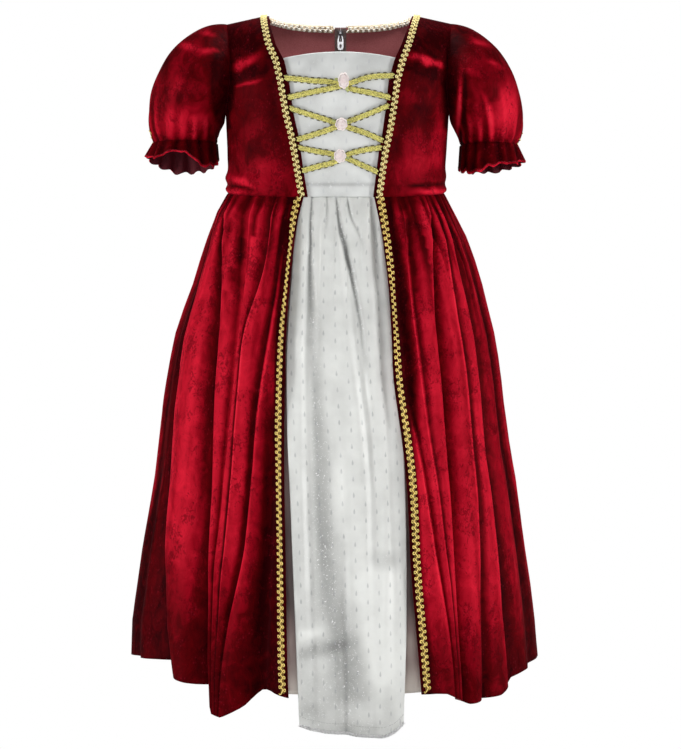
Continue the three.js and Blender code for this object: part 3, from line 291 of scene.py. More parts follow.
def flat_size(p, closed=False):
    """Flat width, length and area in metres of a grid of cloth."""
    width = np.linalg.norm(np.diff(p, axis=1), axis=-1).sum(axis=1).max()
    if closed:
        width += np.linalg.norm(p[:, 0] - p[:, -1], axis=-1).max()
    length = np.linalg.norm(np.diff(p, axis=0), axis=-1).sum(axis=0).max()
    q = np.concatenate([p, p[:, :1]], axis=1) if closed else p
    u, v = q[1:, :-1] - q[:-1, :-1], q[:-1, 1:] - q[:-1, :-1]
    area = np.linalg.norm(np.cross(u, v), axis=-1).sum()
    return width * MM, length * MM, area * MM * MM


def cloth_piece(obj, nodes, p, held, closed=False):
    width, length, area = flat_size(p, closed)
    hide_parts(*nodes)
    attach(obj, BODY)
    area = min(area, 0.999 * width * length)
    print(f"{obj.name}: {width:.3f} x {length:.3f} m flat, {held}")


print("eased third:", round(float(ease(1 / 3)), 3))


# %% [markdown]
# ## Forms
# The torso, skirt and sleeve surfaces of the solids, read finely. Every piece takes its points from these.

# %% Surfaces
def shoulder_profile(drop):
    return (1 - (1 - clamp(drop / 90, 0, 1)) ** 2.6) ** (1 / 2.6)


def torso_half(side, drop):
    return np.interp(drop, TORSO["drop"], TORSO[side])


def torso(side, face, drop, across):
    drop, across = np.broadcast_arrays(np.asarray(drop, float), np.asarray(across, float))
    half = torso_half(side, drop)
    x = clamp(np.abs(across), 0, half)
    ridge = TORSO_DEPTH[face] * shoulder_profile(drop)
    if face == BACK:
        upright = 58 + (TORSO_DEPTH[face] - 58) * (1 - (1 - clamp(drop / 100, 0, 1)) ** 2)
        ridge = mix(ridge, upright, ease((84 - x) / 24))
    y = ridge * np.maximum(0, 1 - (x / half) ** ROUND) ** (1 / ROUND)
    slope = 0.22 * np.maximum(0, x - NECK_HALF) * clamp(1 - drop / 90, 0, 1)
    return np.stack([side * x, face * (0.05 + y), -drop - slope], axis=-1)


def torso_angle(side, drop, across):
    return np.arcsin(clamp(across / torso_half(side, drop), 0, 1) ** (ROUND / 2))


def torso_across(side, drop, angle):
    return torso_half(side, drop) * np.sin(angle) ** (2 / ROUND)


def outer_across(side, drop):
    arm = np.interp(drop, ARMHOLE["drop"], ARMHOLE[side])
    return np.where(drop >= UNDERARM, torso_half(side, drop), arm)


def braid_middle(side, drop):
    return np.interp(drop, NECK["drop"], NECK[side])


def edge_across(side, drop):
    return braid_middle(side, drop) - BRAID / 2 - np.interp(drop, NECK["drop"], NECK["margin"])


def skirt_hull(side, face, angle, height):
    height, angle = np.broadcast_arrays(np.asarray(height, float), np.asarray(angle, float))
    drop = WAIST + (HEM - WAIST) * height
    power = 2 / (2.4 - 0.25 * clamp(height, 0, 1))
    half = np.interp(drop, SKIRT["drop"], SKIRT[side])
    depth = np.interp(drop, SKIRT["drop"], SKIRT["front" if face == FRONT else "back"])
    x = side * half * np.sin(np.radians(angle)) ** power
    y = face * depth * np.maximum(0, np.cos(np.radians(angle))) ** power
    return np.stack([x, y, -drop], axis=-1)


def skirt_angle_of(side, across, height):
    drop = WAIST + (HEM - WAIST) * height
    power = 2 / (2.4 - 0.25 * clamp(height, 0, 1))
    half = np.interp(drop, SKIRT["drop"], SKIRT[side])
    return np.degrees(np.arcsin(clamp(np.abs(across) / half, 0, 1) ** (1 / power)))


def armhole(side, angle):
    turn = np.where(angle <= 180, angle, 360 - angle)
    drop = UNDERARM * (0.5 - 0.5 * np.cos(np.radians(turn)))
    front = torso(side, FRONT, drop, outer_across(side, drop))
    back = torso(side, BACK, drop, outer_across(side, drop))
    return np.where((angle <= 180)[..., None], front, back)


def sleeve_form(side, angle, along):
    """The puff from 0 at the armhole to 1 at the elastic, and the frill from 1 to 2."""
    middle, half_width, half_depth, cuff_drop, swell, rise = SLEEVE[side]
    c, s = np.cos(np.radians(angle)), np.sin(np.radians(angle))
    start = armhole(side, angle)
    cuff = np.stack([side * (middle + half_width * c), -half_depth * s + 2, -cuff_drop + 5 * s], axis=-1)
    up, down = np.maximum(0, c), np.maximum(0, -c)
    one = start + np.stack([side * (swell * up + 24 * np.abs(s) + 1.5 * down), -30 * s, rise * up - 10 * down],
                           axis=-1)
    two = cuff + np.stack([side * (21 * up - down), -27 * s, 50 * up + 42 * np.abs(s) + 9 * down], axis=-1)
    t = np.minimum(1, along)[..., None]
    p = (1 - t) ** 3 * start + 3 * (1 - t) ** 2 * t * one + 3 * (1 - t) * t * t * two + t**3 * cuff
    around = np.stack([side * c, -s, np.zeros_like(c)], axis=-1)
    return p, around, c


waist_halves = [torso_half(side, np.array([WAIST]))[0] for side in (LEFT, RIGHT)]
print("half widths at the waist, mm:", [round(float(half), 1) for half in waist_halves])


# %% [markdown]
# ## Materials
# Procedural finishes: crushed velvet with its dusty wrong side, brocade with a small half-drop repeat, plain satin,
# metallic braid, ribbon, tape and metal. Shared patterns are node groups that give only a colour or a height.

# %% Material tools
def material(name, **sockets):
    m = bpy.data.materials.new(name)
    m.use_nodes = True
    shader = m.node_tree.nodes["Principled BSDF"]
    for key, value in sockets.items():
        shader.inputs[key.replace("_", " ")].default_value = value
    return m, m.node_tree, shader


def put(tree, kind, **settings):
    node = tree.nodes.new(kind)
    for key, value in settings.items():
        if key.startswith("in_"):
            node.inputs[key[3:].replace("_", " ")].default_value = value
        else:
            setattr(node, key, value)
    return node


def ramp(tree, fac, stops):
    node = tree.nodes.new("ShaderNodeValToRGB")
    ends = node.color_ramp.elements
    while len(ends) < len(stops):
        ends.new(0.5)
    for e, (at, colour) in zip(ends, stops):
        e.position = at
        e.color = (*colour, 1)
    tree.links.new(fac, node.inputs["Fac"])
    return node.outputs["Color"]


def math_node(tree, operation, a, b=None, c=None):
    node = tree.nodes.new("ShaderNodeMath")
    node.operation = operation
    for k, v in enumerate((a, b, c)):
        if v is None:
            continue
        if isinstance(v, (int, float)):
            node.inputs[k].default_value = v
        else:
            tree.links.new(v, node.inputs[k])
    return node.outputs[0]


def blend_colours(tree, fac, a, b):
    node = tree.nodes.new("ShaderNodeMix")
    node.data_type = "RGBA"
    for k, v in ((0, fac), (6, a), (7, b)):
        if isinstance(v, (int, float)):
            node.inputs[k].default_value = v
        elif isinstance(v, tuple):
            node.inputs[k].default_value = (*v, 1)
        else:
            tree.links.new(v, node.inputs[k])
    return node.outputs[2]


def bump(tree, height, strength, distance, shader):
    node = tree.nodes.new("ShaderNodeBump")
    node.inputs["Strength"].default_value = strength
    node.inputs["Distance"].default_value = distance
    tree.links.new(height, node.inputs["Height"])
    tree.links.new(node.outputs["Normal"], shader.inputs["Normal"])


def noise_texture(tree, vector, scale, **settings):
    node = put(tree, "ShaderNodeTexNoise", in_Scale=scale, **settings)
    tree.links.new(vector, node.inputs["Vector"])
    return node.outputs


def map_range(tree, value, low, high):
    """0 at low and 1 at high, or the other way round where low is the larger."""
    node = tree.nodes.new("ShaderNodeMapRange")
    node.inputs["From Min"].default_value = low
    node.inputs["From Max"].default_value = high
    tree.links.new(value, node.inputs["Value"])
    return node.outputs["Result"]


def painted_light_value(tree):
    """The painted light and shade that each shell carries at its points, from 0 dark to 1 bright."""
    node = tree.nodes.new("ShaderNodeAttribute")
    node.attribute_name = "nap_and_painted_light"
    return node.outputs["Fac"]


def object_coords(tree, scale=(1, 1, 1)):
    coords = tree.nodes.new("ShaderNodeTexCoord")
    mapping = tree.nodes.new("ShaderNodeMapping")
    mapping.inputs["Scale"].default_value = scale
    tree.links.new(coords.outputs["Object"], mapping.inputs["Vector"])
    return mapping.outputs["Vector"]


def group(name, outputs):
    """An empty node group with a vector input and the named outputs."""
    tree = bpy.data.node_groups.new(name, "ShaderNodeTree")
    tree.interface.new_socket("Vector", in_out="INPUT", socket_type="NodeSocketVector")
    for out, kind in outputs:
        tree.interface.new_socket(out, in_out="OUTPUT", socket_type=kind)
    return tree, tree.nodes.new("NodeGroupInput").outputs["Vector"], tree.nodes.new("NodeGroupOutput")


def fine_grained(name, stops, scale, relief=None, grain=None, **sockets):
    """A finish of two tones in a fine noise, with a relief of its own where it has one."""
    m, tree, shader = material(name, **sockets)
    tone = noise_texture(tree, object_coords(tree), scale, **(grain or {}))["Fac"]
    tree.links.new(ramp(tree, tone, stops), shader.inputs["Base Color"])
    if relief:
        bump(tree, tone, *relief, shader)
    return m


def use_group(tree, group_tree, vector):
    node = tree.nodes.new("ShaderNodeGroup")
    node.node_tree = group_tree
    tree.links.new(vector, node.inputs["Vector"])
    return node.outputs


print("materials before the finishes:", len(bpy.data.materials))

# %% [markdown]
# ### Crushed pile
# Crushed velvet is pressed so that its pile lies in patches, with small dark nicks between them. It could be
# painted by hand. Noise at several sizes gives one look for every panel, with nicks from noise and from Voronoi
# cells, most of them inside clusters. The group gives masks and a height, and no colour.

# %% Crushed nap: soft patches, and small nicks that come in clusters
nap_and_painted_light, nap_in, nap_out = group("crushed_nap", [("Patches", "NodeSocketFloat"), ("Nicks", "NodeSocketFloat"),
                                             ("Painted_glints", "NodeSocketFloat"), ("Height", "NodeSocketFloat")])
broad = noise_texture(nap_and_painted_light, nap_in, 70.0, in_Detail=4.0, in_Roughness=0.62, in_Distortion=0.9)["Fac"]
nap_and_painted_light.links.new(broad, nap_out.inputs["Patches"])
cluster = noise_texture(nap_and_painted_light, nap_in, 46.0, in_Detail=2.0)["Fac"]
warp = noise_texture(nap_and_painted_light, nap_in, 260.0, in_Detail=1.0)["Color"]
shifted = put(nap_and_painted_light, "ShaderNodeVectorMath", operation="MULTIPLY_ADD")
nap_and_painted_light.links.new(warp, shifted.inputs[0])
shifted.inputs[1].default_value = (0.0035, 0.0035, 0.0018)
nap_and_painted_light.links.new(nap_in, shifted.inputs[2])


def spots(scale, low, high):
    """Short marks on a share of the cells, more of them inside the clusters."""
    cells = put(nap_and_painted_light, "ShaderNodeTexVoronoi", in_Scale=scale, in_Randomness=1.0)
    nap_and_painted_light.links.new(shifted.outputs["Vector"], cells.inputs["Vector"])
    pick = nap_and_painted_light.nodes.new("ShaderNodeSeparateColor")
    nap_and_painted_light.links.new(cells.outputs["Color"], pick.inputs[0])
    chosen = math_node(nap_and_painted_light, "ADD", pick.outputs[0], math_node(nap_and_painted_light, "MULTIPLY_ADD", cluster, 2.2, -1.1))
    small = map_range(nap_and_painted_light, cells.outputs["Distance"], 0.42, 0.18)
    return math_node(nap_and_painted_light, "MULTIPLY", map_range(nap_and_painted_light, chosen, low, high), small)


blot = noise_texture(nap_and_painted_light, nap_in, 230.0, in_Detail=3.0, in_Roughness=0.62, in_Distortion=1.6)["Fac"]
crushed = map_range(nap_and_painted_light, math_node(nap_and_painted_light, "MULTIPLY_ADD", cluster, 0.7, blot), 0.93, 0.99)
nick = math_node(nap_and_painted_light, "MAXIMUM", crushed, math_node(nap_and_painted_light, "MULTIPLY", spots(270.0, 0.72, 0.92), 0.8))
nap_and_painted_light.links.new(nick, nap_out.inputs["Nicks"])
# small bright specks for painted glints
nap_and_painted_light.links.new(spots(430.0, 0.86, 1.02), nap_out.inputs["Painted_glints"])
pile = noise_texture(nap_and_painted_light, nap_in, 1300.0, in_Detail=2.0)["Fac"]
height = math_node(nap_and_painted_light, "MULTIPLY_ADD", nick, -0.35, math_node(nap_and_painted_light, "MULTIPLY_ADD", pile, 0.07, broad))
nap_and_painted_light.links.new(height, nap_out.inputs["Height"])
print("crushed nap group:", len(nap_and_painted_light.nodes), "nodes")


# %% [markdown]
# ### Velvet and its wrong side
# Velvet is dark where its pile points at the viewer and bright where the pile is laid over. Sheen alone brightens
# only the edges, so a colour ramp reads how the surface faces and the painted light and shade that each shell
# carries at its points; small bright specks are painted glints. The wrong side is a plain weave of two tones, and
# a much darker copy of it inside the sleeves is painted shade.

# %% Velvet and lining
def velvet_material():
    """Dark where the pile points at the viewer and bright where it is laid over; the attribute adds painted light and
    shade.
    """
    m, tree, shader = material("velvet", Roughness=0.55, Sheen_Weight=0.04, Sheen_Roughness=0.35,
                               Sheen_Tint=(1.0, 0.06, 0.12, 1), Specular_IOR_Level=0.035,
                               Specular_Tint=(1.0, 0.22, 0.28, 1))
    out = use_group(tree, nap_and_painted_light, object_coords(tree, (1, 1, 0.75)))
    weight = put(tree, "ShaderNodeLayerWeight", in_Blend=0.5)
    # the ramp reads the painted light and shade, a little of how the surface faces, and random patches
    lean = math_node(tree, "MULTIPLY_ADD", weight.outputs["Facing"], 0.04, painted_light_value(tree))
    lean = math_node(tree, "ADD", lean, math_node(tree, "MULTIPLY_ADD", out["Patches"], 0.5, -0.25))
    colour = ramp(tree, lean, [(0.0, (0.022, 0.0002, 0.0008)), (0.20, (0.090, 0.0006, 0.0022)),
                               (0.42, (0.27, 0.0022, 0.0095)), (0.70, (0.60, 0.010, 0.029)),
                               (1.0, (0.88, 0.030, 0.060))])
    # painted glints: small bright specks blended into the colour
    colour = blend_colours(tree, math_node(tree, "MULTIPLY", out["Painted_glints"], 0.10), colour, (0.88, 0.04, 0.09))
    colour = blend_colours(tree, math_node(tree, "MULTIPLY", out["Nicks"], 0.55), colour, (0.06, 0.0004, 0.002))
    tree.links.new(colour, shader.inputs["Base Color"])
    bump(tree, out["Height"], 0.45, 0.0014, shader)
    return m


def lining_material(name, dark, light):
    return fine_grained(name, [(0.3, dark), (0.7, light)], 900.0, (0.25, 0.0004), {"in_Detail": 2.0}, Roughness=0.75,
                        Specular_IOR_Level=0.2)


velvet = velvet_material()
wrong_side = lining_material("velvet_wrong_side", (0.34, 0.095, 0.10), (0.43, 0.13, 0.135))
# a much darker copy of the wrong side, for painted shade inside the sleeves
dark_side = lining_material("velvet_dark_side", (0.045, 0.001, 0.004), (0.085, 0.003, 0.009))
print("velvet finishes:", velvet.name, wrong_side.name, dark_side.name)


# %% [markdown]
# ### Brocade and satin
# The brocade has small drops woven in half-drop rows. An image could carry them, but a rule drawn on the cloth's
# own lengths bends with the folds and keeps its size. Plain satin hangs behind it.

# %% Brocade: small drops in half-drop rows, drawn on the cloth's own lengths
def brocade_material(name, base, tint, gloss):
    m, tree, shader = material(name, Roughness=gloss, Specular_IOR_Level=0.45)
    uv = tree.nodes.new("ShaderNodeUVMap")
    uv.uv_map = "cloth"
    split = tree.nodes.new("ShaderNodeSeparateXYZ")
    tree.links.new(uv.outputs["UV"], split.inputs[0])
    pitch_across, pitch_down = 0.0122, 0.0170
    column = math_node(tree, "DIVIDE", split.outputs["X"], pitch_across)
    which = math_node(tree, "FLOOR", column)
    odd = math_node(tree, "MODULO", math_node(tree, "ADD", which, 1000.0), 2.0)
    row = math_node(tree, "ADD", math_node(tree, "DIVIDE", split.outputs["Y"], pitch_down),
                    math_node(tree, "MULTIPLY", odd, 0.5))
    u = math_node(tree, "SUBTRACT", math_node(tree, "FRACT", column), 0.5)
    v = math_node(tree, "SUBTRACT", math_node(tree, "FRACT", row), 0.5)
    # a drop is narrow at its top and round at its foot
    width = math_node(tree, "MULTIPLY_ADD", v, -0.28, 0.085)
    x = math_node(tree, "DIVIDE", u, width)
    y = math_node(tree, "DIVIDE", v, 0.19)
    reach = math_node(tree, "ADD", math_node(tree, "MULTIPLY", x, x), math_node(tree, "MULTIPLY", y, y))
    drop = math_node(tree, "SUBTRACT", 1.0, math_node(tree, "SMOOTH_MIN", reach, 1.0, 0.25))
    drop = math_node(tree, "MINIMUM", math_node(tree, "MULTIPLY", drop, 1.8), 1.0)
    coords = object_coords(tree)
    patchy = noise_texture(tree, coords, 140.0, in_Detail=3.0)["Fac"]
    mask = math_node(tree, "MULTIPLY", drop, math_node(tree, "MULTIPLY_ADD", patchy, 1.2, -0.05))
    threads = put(tree, "ShaderNodeTexWave", in_Scale=420.0, in_Distortion=1.5, in_Detail=2.0)
    tree.links.new(uv.outputs["UV"], threads.inputs["Vector"])
    soft = noise_texture(tree, coords, 38.0, in_Detail=4.0, in_Roughness=0.6)["Fac"]
    ground = ramp(tree, soft, [(0.3, tuple(c * 0.95 for c in base)), (0.7, base)])
    # painted light and shade darkens the ground, and the drops show more where it is darker
    painted_light = painted_light_value(tree)
    fine = noise_texture(tree, coords, 65.0, in_Detail=3.0)["Fac"]
    lit = math_node(tree, "ADD", painted_light, math_node(tree, "MULTIPLY_ADD", fine, 0.3, -0.15))
    ground = blend_colours(tree, lit, tuple(c * 0.27 for c in base), ground)
    mask = math_node(tree, "MULTIPLY", mask, math_node(tree, "MULTIPLY_ADD", painted_light, -0.30, 0.98))
    colour = blend_colours(tree, mask, ground, tint)
    # painted glints: white specks for the silver threads, put where the painted shade is deeper
    glint = noise_texture(tree, coords, 520.0, in_Detail=1.0, in_Distortion=1.5)["Fac"]
    spark = math_node(tree, "MULTIPLY", map_range(tree, glint, 0.66, 0.72), map_range(tree, painted_light, 0.80, 0.45))
    colour = blend_colours(tree, spark, colour, (0.95, 0.95, 0.95))
    tree.links.new(colour, shader.inputs["Base Color"])
    relief = math_node(tree, "MULTIPLY_ADD", mask, 0.6, math_node(tree, "MULTIPLY_ADD", threads.outputs["Fac"], 0.12,
                       math_node(tree, "MULTIPLY", soft, 0.9)))
    bump(tree, relief, 0.3, 0.0009, shader)
    return m


brocade = brocade_material("brocade", (0.83, 0.84, 0.81), (0.30, 0.31, 0.32), 0.36)
insert_cloth = brocade_material("insert_brocade", (0.78, 0.795, 0.78), (0.50, 0.52, 0.54), 0.42)
satin, satin_tree, satin_shader = material("underlay_satin", Roughness=0.42)
satin_noise = noise_texture(satin_tree, object_coords(satin_tree, (1, 1, 0.2)), 60.0, in_Detail=3.0)["Fac"]
# the satin's colour is painted light and shade: near black where the value is low, cream where it is high
satin_lit = math_node(satin_tree, "ADD", painted_light_value(satin_tree),
                      math_node(satin_tree, "MULTIPLY_ADD", satin_noise, 0.4, -0.2))
satin_colour = ramp(satin_tree, satin_lit, [(0.0, (0.05, 0.035, 0.035)), (0.45, (0.36, 0.27, 0.25)),
                                            (0.9, (0.86, 0.80, 0.72))])
satin_tree.links.new(satin_colour, satin_shader.inputs["Base Color"])
bump(satin_tree, satin_noise, 0.25, 0.002, satin_shader)
print("pale cloths:", insert_cloth.name, satin.name)


# %% [markdown]
# ### Finishes of the trims
# Metallic braid, ribbon, zip tape, metal and thread. Modelled threads would cost many triangles and hardly show at
# this size, so most of these are two tones in a fine noise, with a low relief.

# %% Braid, ribbon, tape and metal
def braid_material(name, light, dark, metallic, rough):
    return fine_grained(name, [(0.33, dark), (0.55, light)], 700.0, (0.6, 0.0005),
                        {"in_Detail": 3.0, "in_Roughness": 0.7}, Roughness=rough, Metallic=metallic)


gold = braid_material("gold_braid", (1.0, 0.77, 0.23), (0.55, 0.36, 0.07), 0.25, 0.4)
gold_back = braid_material("gold_braid_back", (0.26, 0.155, 0.03), (0.07, 0.035, 0.007), 0.2, 0.6)
lace_gold = braid_material("lacing_gold", (0.84, 0.78, 0.24), (0.16, 0.13, 0.015), 0.2, 0.42)
# near-black, for painted shadow in the gaps along the lacing's edges
notch_shadow = braid_material("lacing_notch_shadows", (0.10, 0.08, 0.03), (0.02, 0.02, 0.01), 0.0, 0.6)
lace_back = braid_material("lacing_back", (0.38, 0.33, 0.09), (0.12, 0.10, 0.03), 0.3, 0.6)
pale_gold = braid_material("pale_gold_braid", (1.0, 0.88, 0.42), (0.74, 0.56, 0.16), 0.15, 0.42)
# much paler copies of the braid's finishes: painted light on the braid folded over the back neckline
back_neck_backing_painted_light = braid_material("back_neck_braid_backing_painted_light", (0.80, 0.66, 0.46), (0.42, 0.28, 0.18), 0.0, 0.5)
back_neck_cord_painted_light = braid_material("back_neck_braid_painted_light", (1.0, 0.98, 0.88), (0.96, 0.88, 0.70), 0.0, 0.45)


def ribbon_material(name, light, dark):
    return fine_grained(name, [(0.35, dark), (0.65, light)], 600.0, (0.3, 0.0003), {"in_Detail": 2.0}, Roughness=0.4,
                        Sheen_Weight=0.2)


pink = ribbon_material("rose_ribbon", (1.0, 0.94, 0.92), (1.0, 0.87, 0.86))
leaf_green = ribbon_material("leaf_ribbon", (0.46, 0.50, 0.18), (0.30, 0.34, 0.10))
tape = ribbon_material("zip_tape", (0.20, 0.14, 0.125), (0.11, 0.075, 0.07))
metal = fine_grained("zip_metal", [(0.3, (0.24, 0.24, 0.25)), (0.7, (0.42, 0.42, 0.43))], 900.0,
                     grain={"in_Detail": 3.0}, Roughness=0.28, Metallic=1.0)
thread = fine_grained("stitch_thread", [(0.3, (0.16, 0.01, 0.02)), (0.7, (0.26, 0.02, 0.03))], 1500.0, Roughness=0.6)
print("materials:", len(bpy.data.materials))

# %% [markdown]
# ## Bodice
# Four velvet panels and the insert. The front panels run to the edge that lies over the insert. Soft cross creases
# gather just above the waist seam and fan out under the arms.


# %% Bodice front and back
def bodice_creases(x, drop, side, face):
    """Soft wrinkles as heights: two rolls above the waist seam at the side, and pulls from the underarm."""
    out = ease((np.abs(x) - 48) / 50)
    z = np.zeros_like(drop)
    rolls = [(-14.5, 6.0, 3.6), (-3.0, 3.6, 3.2)] if side == LEFT else [(-4.0, 4.0, 3.0), (-18, 6.0, 1.4)]
    for at, width, high in rolls:
        lift = 2.2 * noise(np.abs(x) / 26 + at, drop * 0 + at, 5 + side)
        z += high * out * np.exp(-(((drop - WAIST) - at - lift) / width) ** 2)
    for k, (start, slant, high, width) in enumerate([(112, 0.55, 1.4, 7), (128, 0.30, 1.0, 6), (92, 0.95, 1.2, 7)]):
        line = start + slant * (118 - np.abs(x)) + 3 * noise(np.abs(x) / 30, drop * 0 + k, 31 + side + face)
        reach = ease((np.abs(x) - 62) / 36)
        z -= high * reach * np.exp(-((drop - line) / width) ** 2)
    broad = noise(x / 34, drop / 30, 41 + side) * 1.0 + noise(x / 15, drop / 18, 43 + face) * 0.4
    quiet = ease((WAIST - drop) / 8) * ease(drop / 14)
    return z * (1.0 if face == FRONT else 0.8) * np.where(drop > WAIST - 1, 0.2, 1) + broad * quiet


# painted highlights (positive amounts) and painted shade (negative amounts), in soft patches
PAINTED_LIGHT_PATCHES = {  # across, drop, half width, half height, slope, how much brighter (or darker)
    "bodice": {
        LEFT: [(101, 47, 19, 7.5, 0.38, 0.55), (97, 70, 15, 2.0, 0.22, 0.42), (92, 59, 26, 5, 0.3, -0.20),
               (78, 164, 22, 18, 0.1, 0.20), (104, 175, 14, 5, -0.3, 0.38), (112, 186, 12, 3.5, 0.1, 0.35),
               (104, 181, 16, 1.8, -0.1, -0.30), (92, 118, 16, 12, 0.5, 0.12), (70, 100, 6, 26, 0.0, -0.10)],
        RIGHT: [(92, 47, 20, 5, 0.28, 0.72), (92, 59, 24, 5, 0.2, -0.22), (104, 128, 9, 30, 0.0, 0.26),
                (82, 150, 18, 24, 0.1, 0.26), (92, 178, 18, 1.8, 0.0, -0.40), (96, 186, 18, 3.6, 0.05, 0.50),
                (72, 84, 8, 16, 0.0, 0.12), (88, 100, 14, 8, 0.4, -0.10)],
    },
    "sleeve": {
        LEFT: [(159, 34, 12, 4, -0.2, 0.42), (141, 18, 9, 3.5, -0.3, 0.36), (137, 38, 11, 3, 0.1, 0.34),
               (166, 112, 30, 17, 0.0, 0.32), (172, 72, 18, 10, -0.3, 0.12), (130, 80, 7, 36, 0.0, -0.34),
               (186, 50, 8, 14, 0.0, -0.12)],
        RIGHT: [(126, 98, 2.6, 32, 0.0, 0.62), (131, 98, 2.4, 34, 0.0, -0.40), (178, 100, 13, 28, 0.0, 0.46),
                (150, 112, 18, 16, 0.0, 0.26), (148, 28, 12, 4, 0.3, 0.30), (164, 52, 10, 3.5, 0.4, 0.26),
                (142, 60, 12, 4, 0.2, 0.14), (118, 60, 7, 30, 0.0, -0.22)],
    },
}


def charted_painted_light(kind, side, across, drop):
    # painted highlights and painted shade, summed from the table's patches
    out = np.zeros_like(across)
    wander = 2.2 * noise(across / 9, drop / 9, 141 + side)
    for at, low, half_width, half_height, slope, amount in PAINTED_LIGHT_PATCHES[kind][side]:
        u = across - at
        v = drop - low - slope * u + wander * min(1.0, half_height / 5)
        out += amount * np.exp(-((u / half_width) ** 2 + (v / half_height) ** 2) ** 1.4)
    return out


def bodice_painted_light(side, p, drop):
    across = np.abs(p[..., 0])
    # painted shade: dark at the shoulders and lighter lower down, and a painted shadow along the armhole seam
    base = mix(0.0, 0.15, ease((drop - 26) / 50)) + 0.09 * ease((drop - 130) / 40)
    base -= 0.32 * (1 - ease((outer_across(side, drop) - across) / 9)) * (drop < UNDERARM + 15)
    return base + charted_painted_light("bodice", side, across, drop) + 0.05 * noise(across / 12, drop / 14, 145 + side)


def bodice_front(side):
    rows, cols = 110, 64
    drop = WAIST * (np.linspace(0, 1, rows) ** 1.25)[:, None] * np.ones((1, cols))
    start = torso_angle(side, drop, edge_across(side, drop))
    end = np.where(drop >= UNDERARM, math.pi / 2, torso_angle(side, drop, outer_across(side, drop)))
    angle = mix(start, end, np.linspace(0, 1, cols)[None, :])
    p = torso(side, FRONT, drop, torso_across(side, drop, angle))
    p[-1, :, 2] -= 0.25
    n = grid_normals(p, p - TORSO_CORE)
    n[0] = [0, 0, 1]
    from_edge = np.abs(p[..., 0]) - edge_across(side, drop)
    calm = ease((from_edge - 11) / 8) * ease((outer_across(side, drop) - np.abs(p[..., 0])) / 7 + 0.15)
    calm = np.maximum(calm, ease((drop - 150) / 12) * ease((from_edge - 20) / 20))
    wave = bodice_creases(p[..., 0], drop, side, FRONT) * calm
    # painted shadow along the open edge, under the braid
    shade = bodice_painted_light(side, p, drop) - 0.8 * (1 - ease((from_edge - 5) / 4))
    p = p + n * np.minimum(wave, 4.0)[..., None]
    obj = shell("bodice_front_panel_" + SIDE[side], p, grid_normals(p, n), SHELL_WALL, velvet, wrong_side,
                uv=cloth_uv(p), nap_and_painted_light=shade)
    cloth_piece(obj, ["bodice_front_" + SIDE[side]], p, "stretched")


BACK_TOP = ([0, 6.5, 22, 40, 54, 66, 74, 78.5, 82, 100, 125], [11, 11, 10.6, 9.8, 8.3, 6.2, 4.2, 2.5, 0, 0, 0])


def back_grid(side, rows, cols):
    f = np.linspace(0, 1, cols)[None, :]
    v = (np.linspace(0, 1, rows) ** 1.2)[:, None]
    end = torso_angle(side, 0.0, outer_across(side, 0.0))
    top = torso_across(side, 0.0, f * end)
    drop = mix(np.interp(top, *BACK_TOP), WAIST, v)
    last = np.where(drop >= UNDERARM, math.pi / 2, torso_angle(side, drop, outer_across(side, drop)))
    return drop, torso(side, BACK, drop, torso_across(side, drop, f * last))


def bodice_back(side):
    drop, p = back_grid(side, 100, 64)
    p[:, 0, 0] = side * 0.1
    n = grid_normals(p, p - TORSO_CORE)
    calm = ease((np.abs(p[..., 0]) - 4) / 8) * ease((outer_across(side, drop) - np.abs(p[..., 0])) / 7 + 0.15)
    calm = calm * ease((drop - np.interp(np.abs(p[..., 0]), *BACK_TOP)) / 10)
    calm = np.maximum(calm, ease((drop - 150) / 12) * ease((np.abs(p[..., 0]) - 70) / 20))
    wave = bodice_creases(p[..., 0], drop, side, BACK) * calm
    shade = bodice_painted_light(side, p, drop)
    p = p + n * np.minimum(wave, 4.0)[..., None]
    obj = shell("bodice_back_panel_" + SIDE[side], p, grid_normals(p, n), SHELL_WALL, velvet, wrong_side,
                uv=cloth_uv(p), nap_and_painted_light=shade)
    cloth_piece(obj, ["bodice_back_" + SIDE[side]], p, "stretched")


for side in (LEFT, RIGHT):
    bodice_front(side)
    bodice_back(side)


# %% [markdown]
# ### Insert
# A pale panel closes the opening of the bodice from behind. It could be a plane, but it takes its points from the
# form of the body, so that it curves as the velvet over it does.

# %% Insert, tucked behind the velvet's open edges
def insert_panel():
    rows, cols = 96, 84
    v = np.linspace(0, 1, rows)[:, None]
    f = np.linspace(0, 1, cols)[None, :]
    level = 44 + (WAIST - 44) * v
    x = mix(-(edge_across(LEFT, level) + 5), edge_across(RIGHT, level) + 5, f)
    drop = level - 7 * (1 - (x / 60) ** 2) * (1 - ease(v * 4))
    p = np.where((x < 0)[..., None], torso(LEFT, FRONT, drop, x), torso(RIGHT, FRONT, drop, x))
    n = grid_normals(p, p - TORSO_CORE)
    p = p - n * (VELVET + 0.9)
    wave = 0.55 * noise(x / 17, level / 12, 7) + 0.25 * noise(x / 8, level / 7, 8)
    wave += 0.8 * np.exp(-((level - 176 - 1.5 * noise(x / 20, level * 0, 9)) / 2.2) ** 2)
    for cross in (72, 113, 148):
        wave -= 0.9 * np.exp(-((level - cross) / 9) ** 2) * np.exp(-(x / 26) ** 2)
    edge_calm = ease((WAIST - level) / 5) * ease(v * 12)
    p = p + n * (wave * edge_calm * 0.75)[..., None]
    shade = 0.80 + 0.12 * noise(x / 14, level / 9, 161) - 0.35 * np.exp(-((level - 176) / 2.0) ** 2)
    obj = shell("insert_panel", p, n, SATIN, insert_cloth, insert_cloth, uv=cloth_uv(p), nap_and_painted_light=shade)
    cloth_piece(obj, ["bodice_insert"], p, "stretched")


insert_panel()

# %% [markdown]
# ## Skirt
# Gathered velvet panels. Each gather at the waist has its own length, and the long troughs follow the solids.


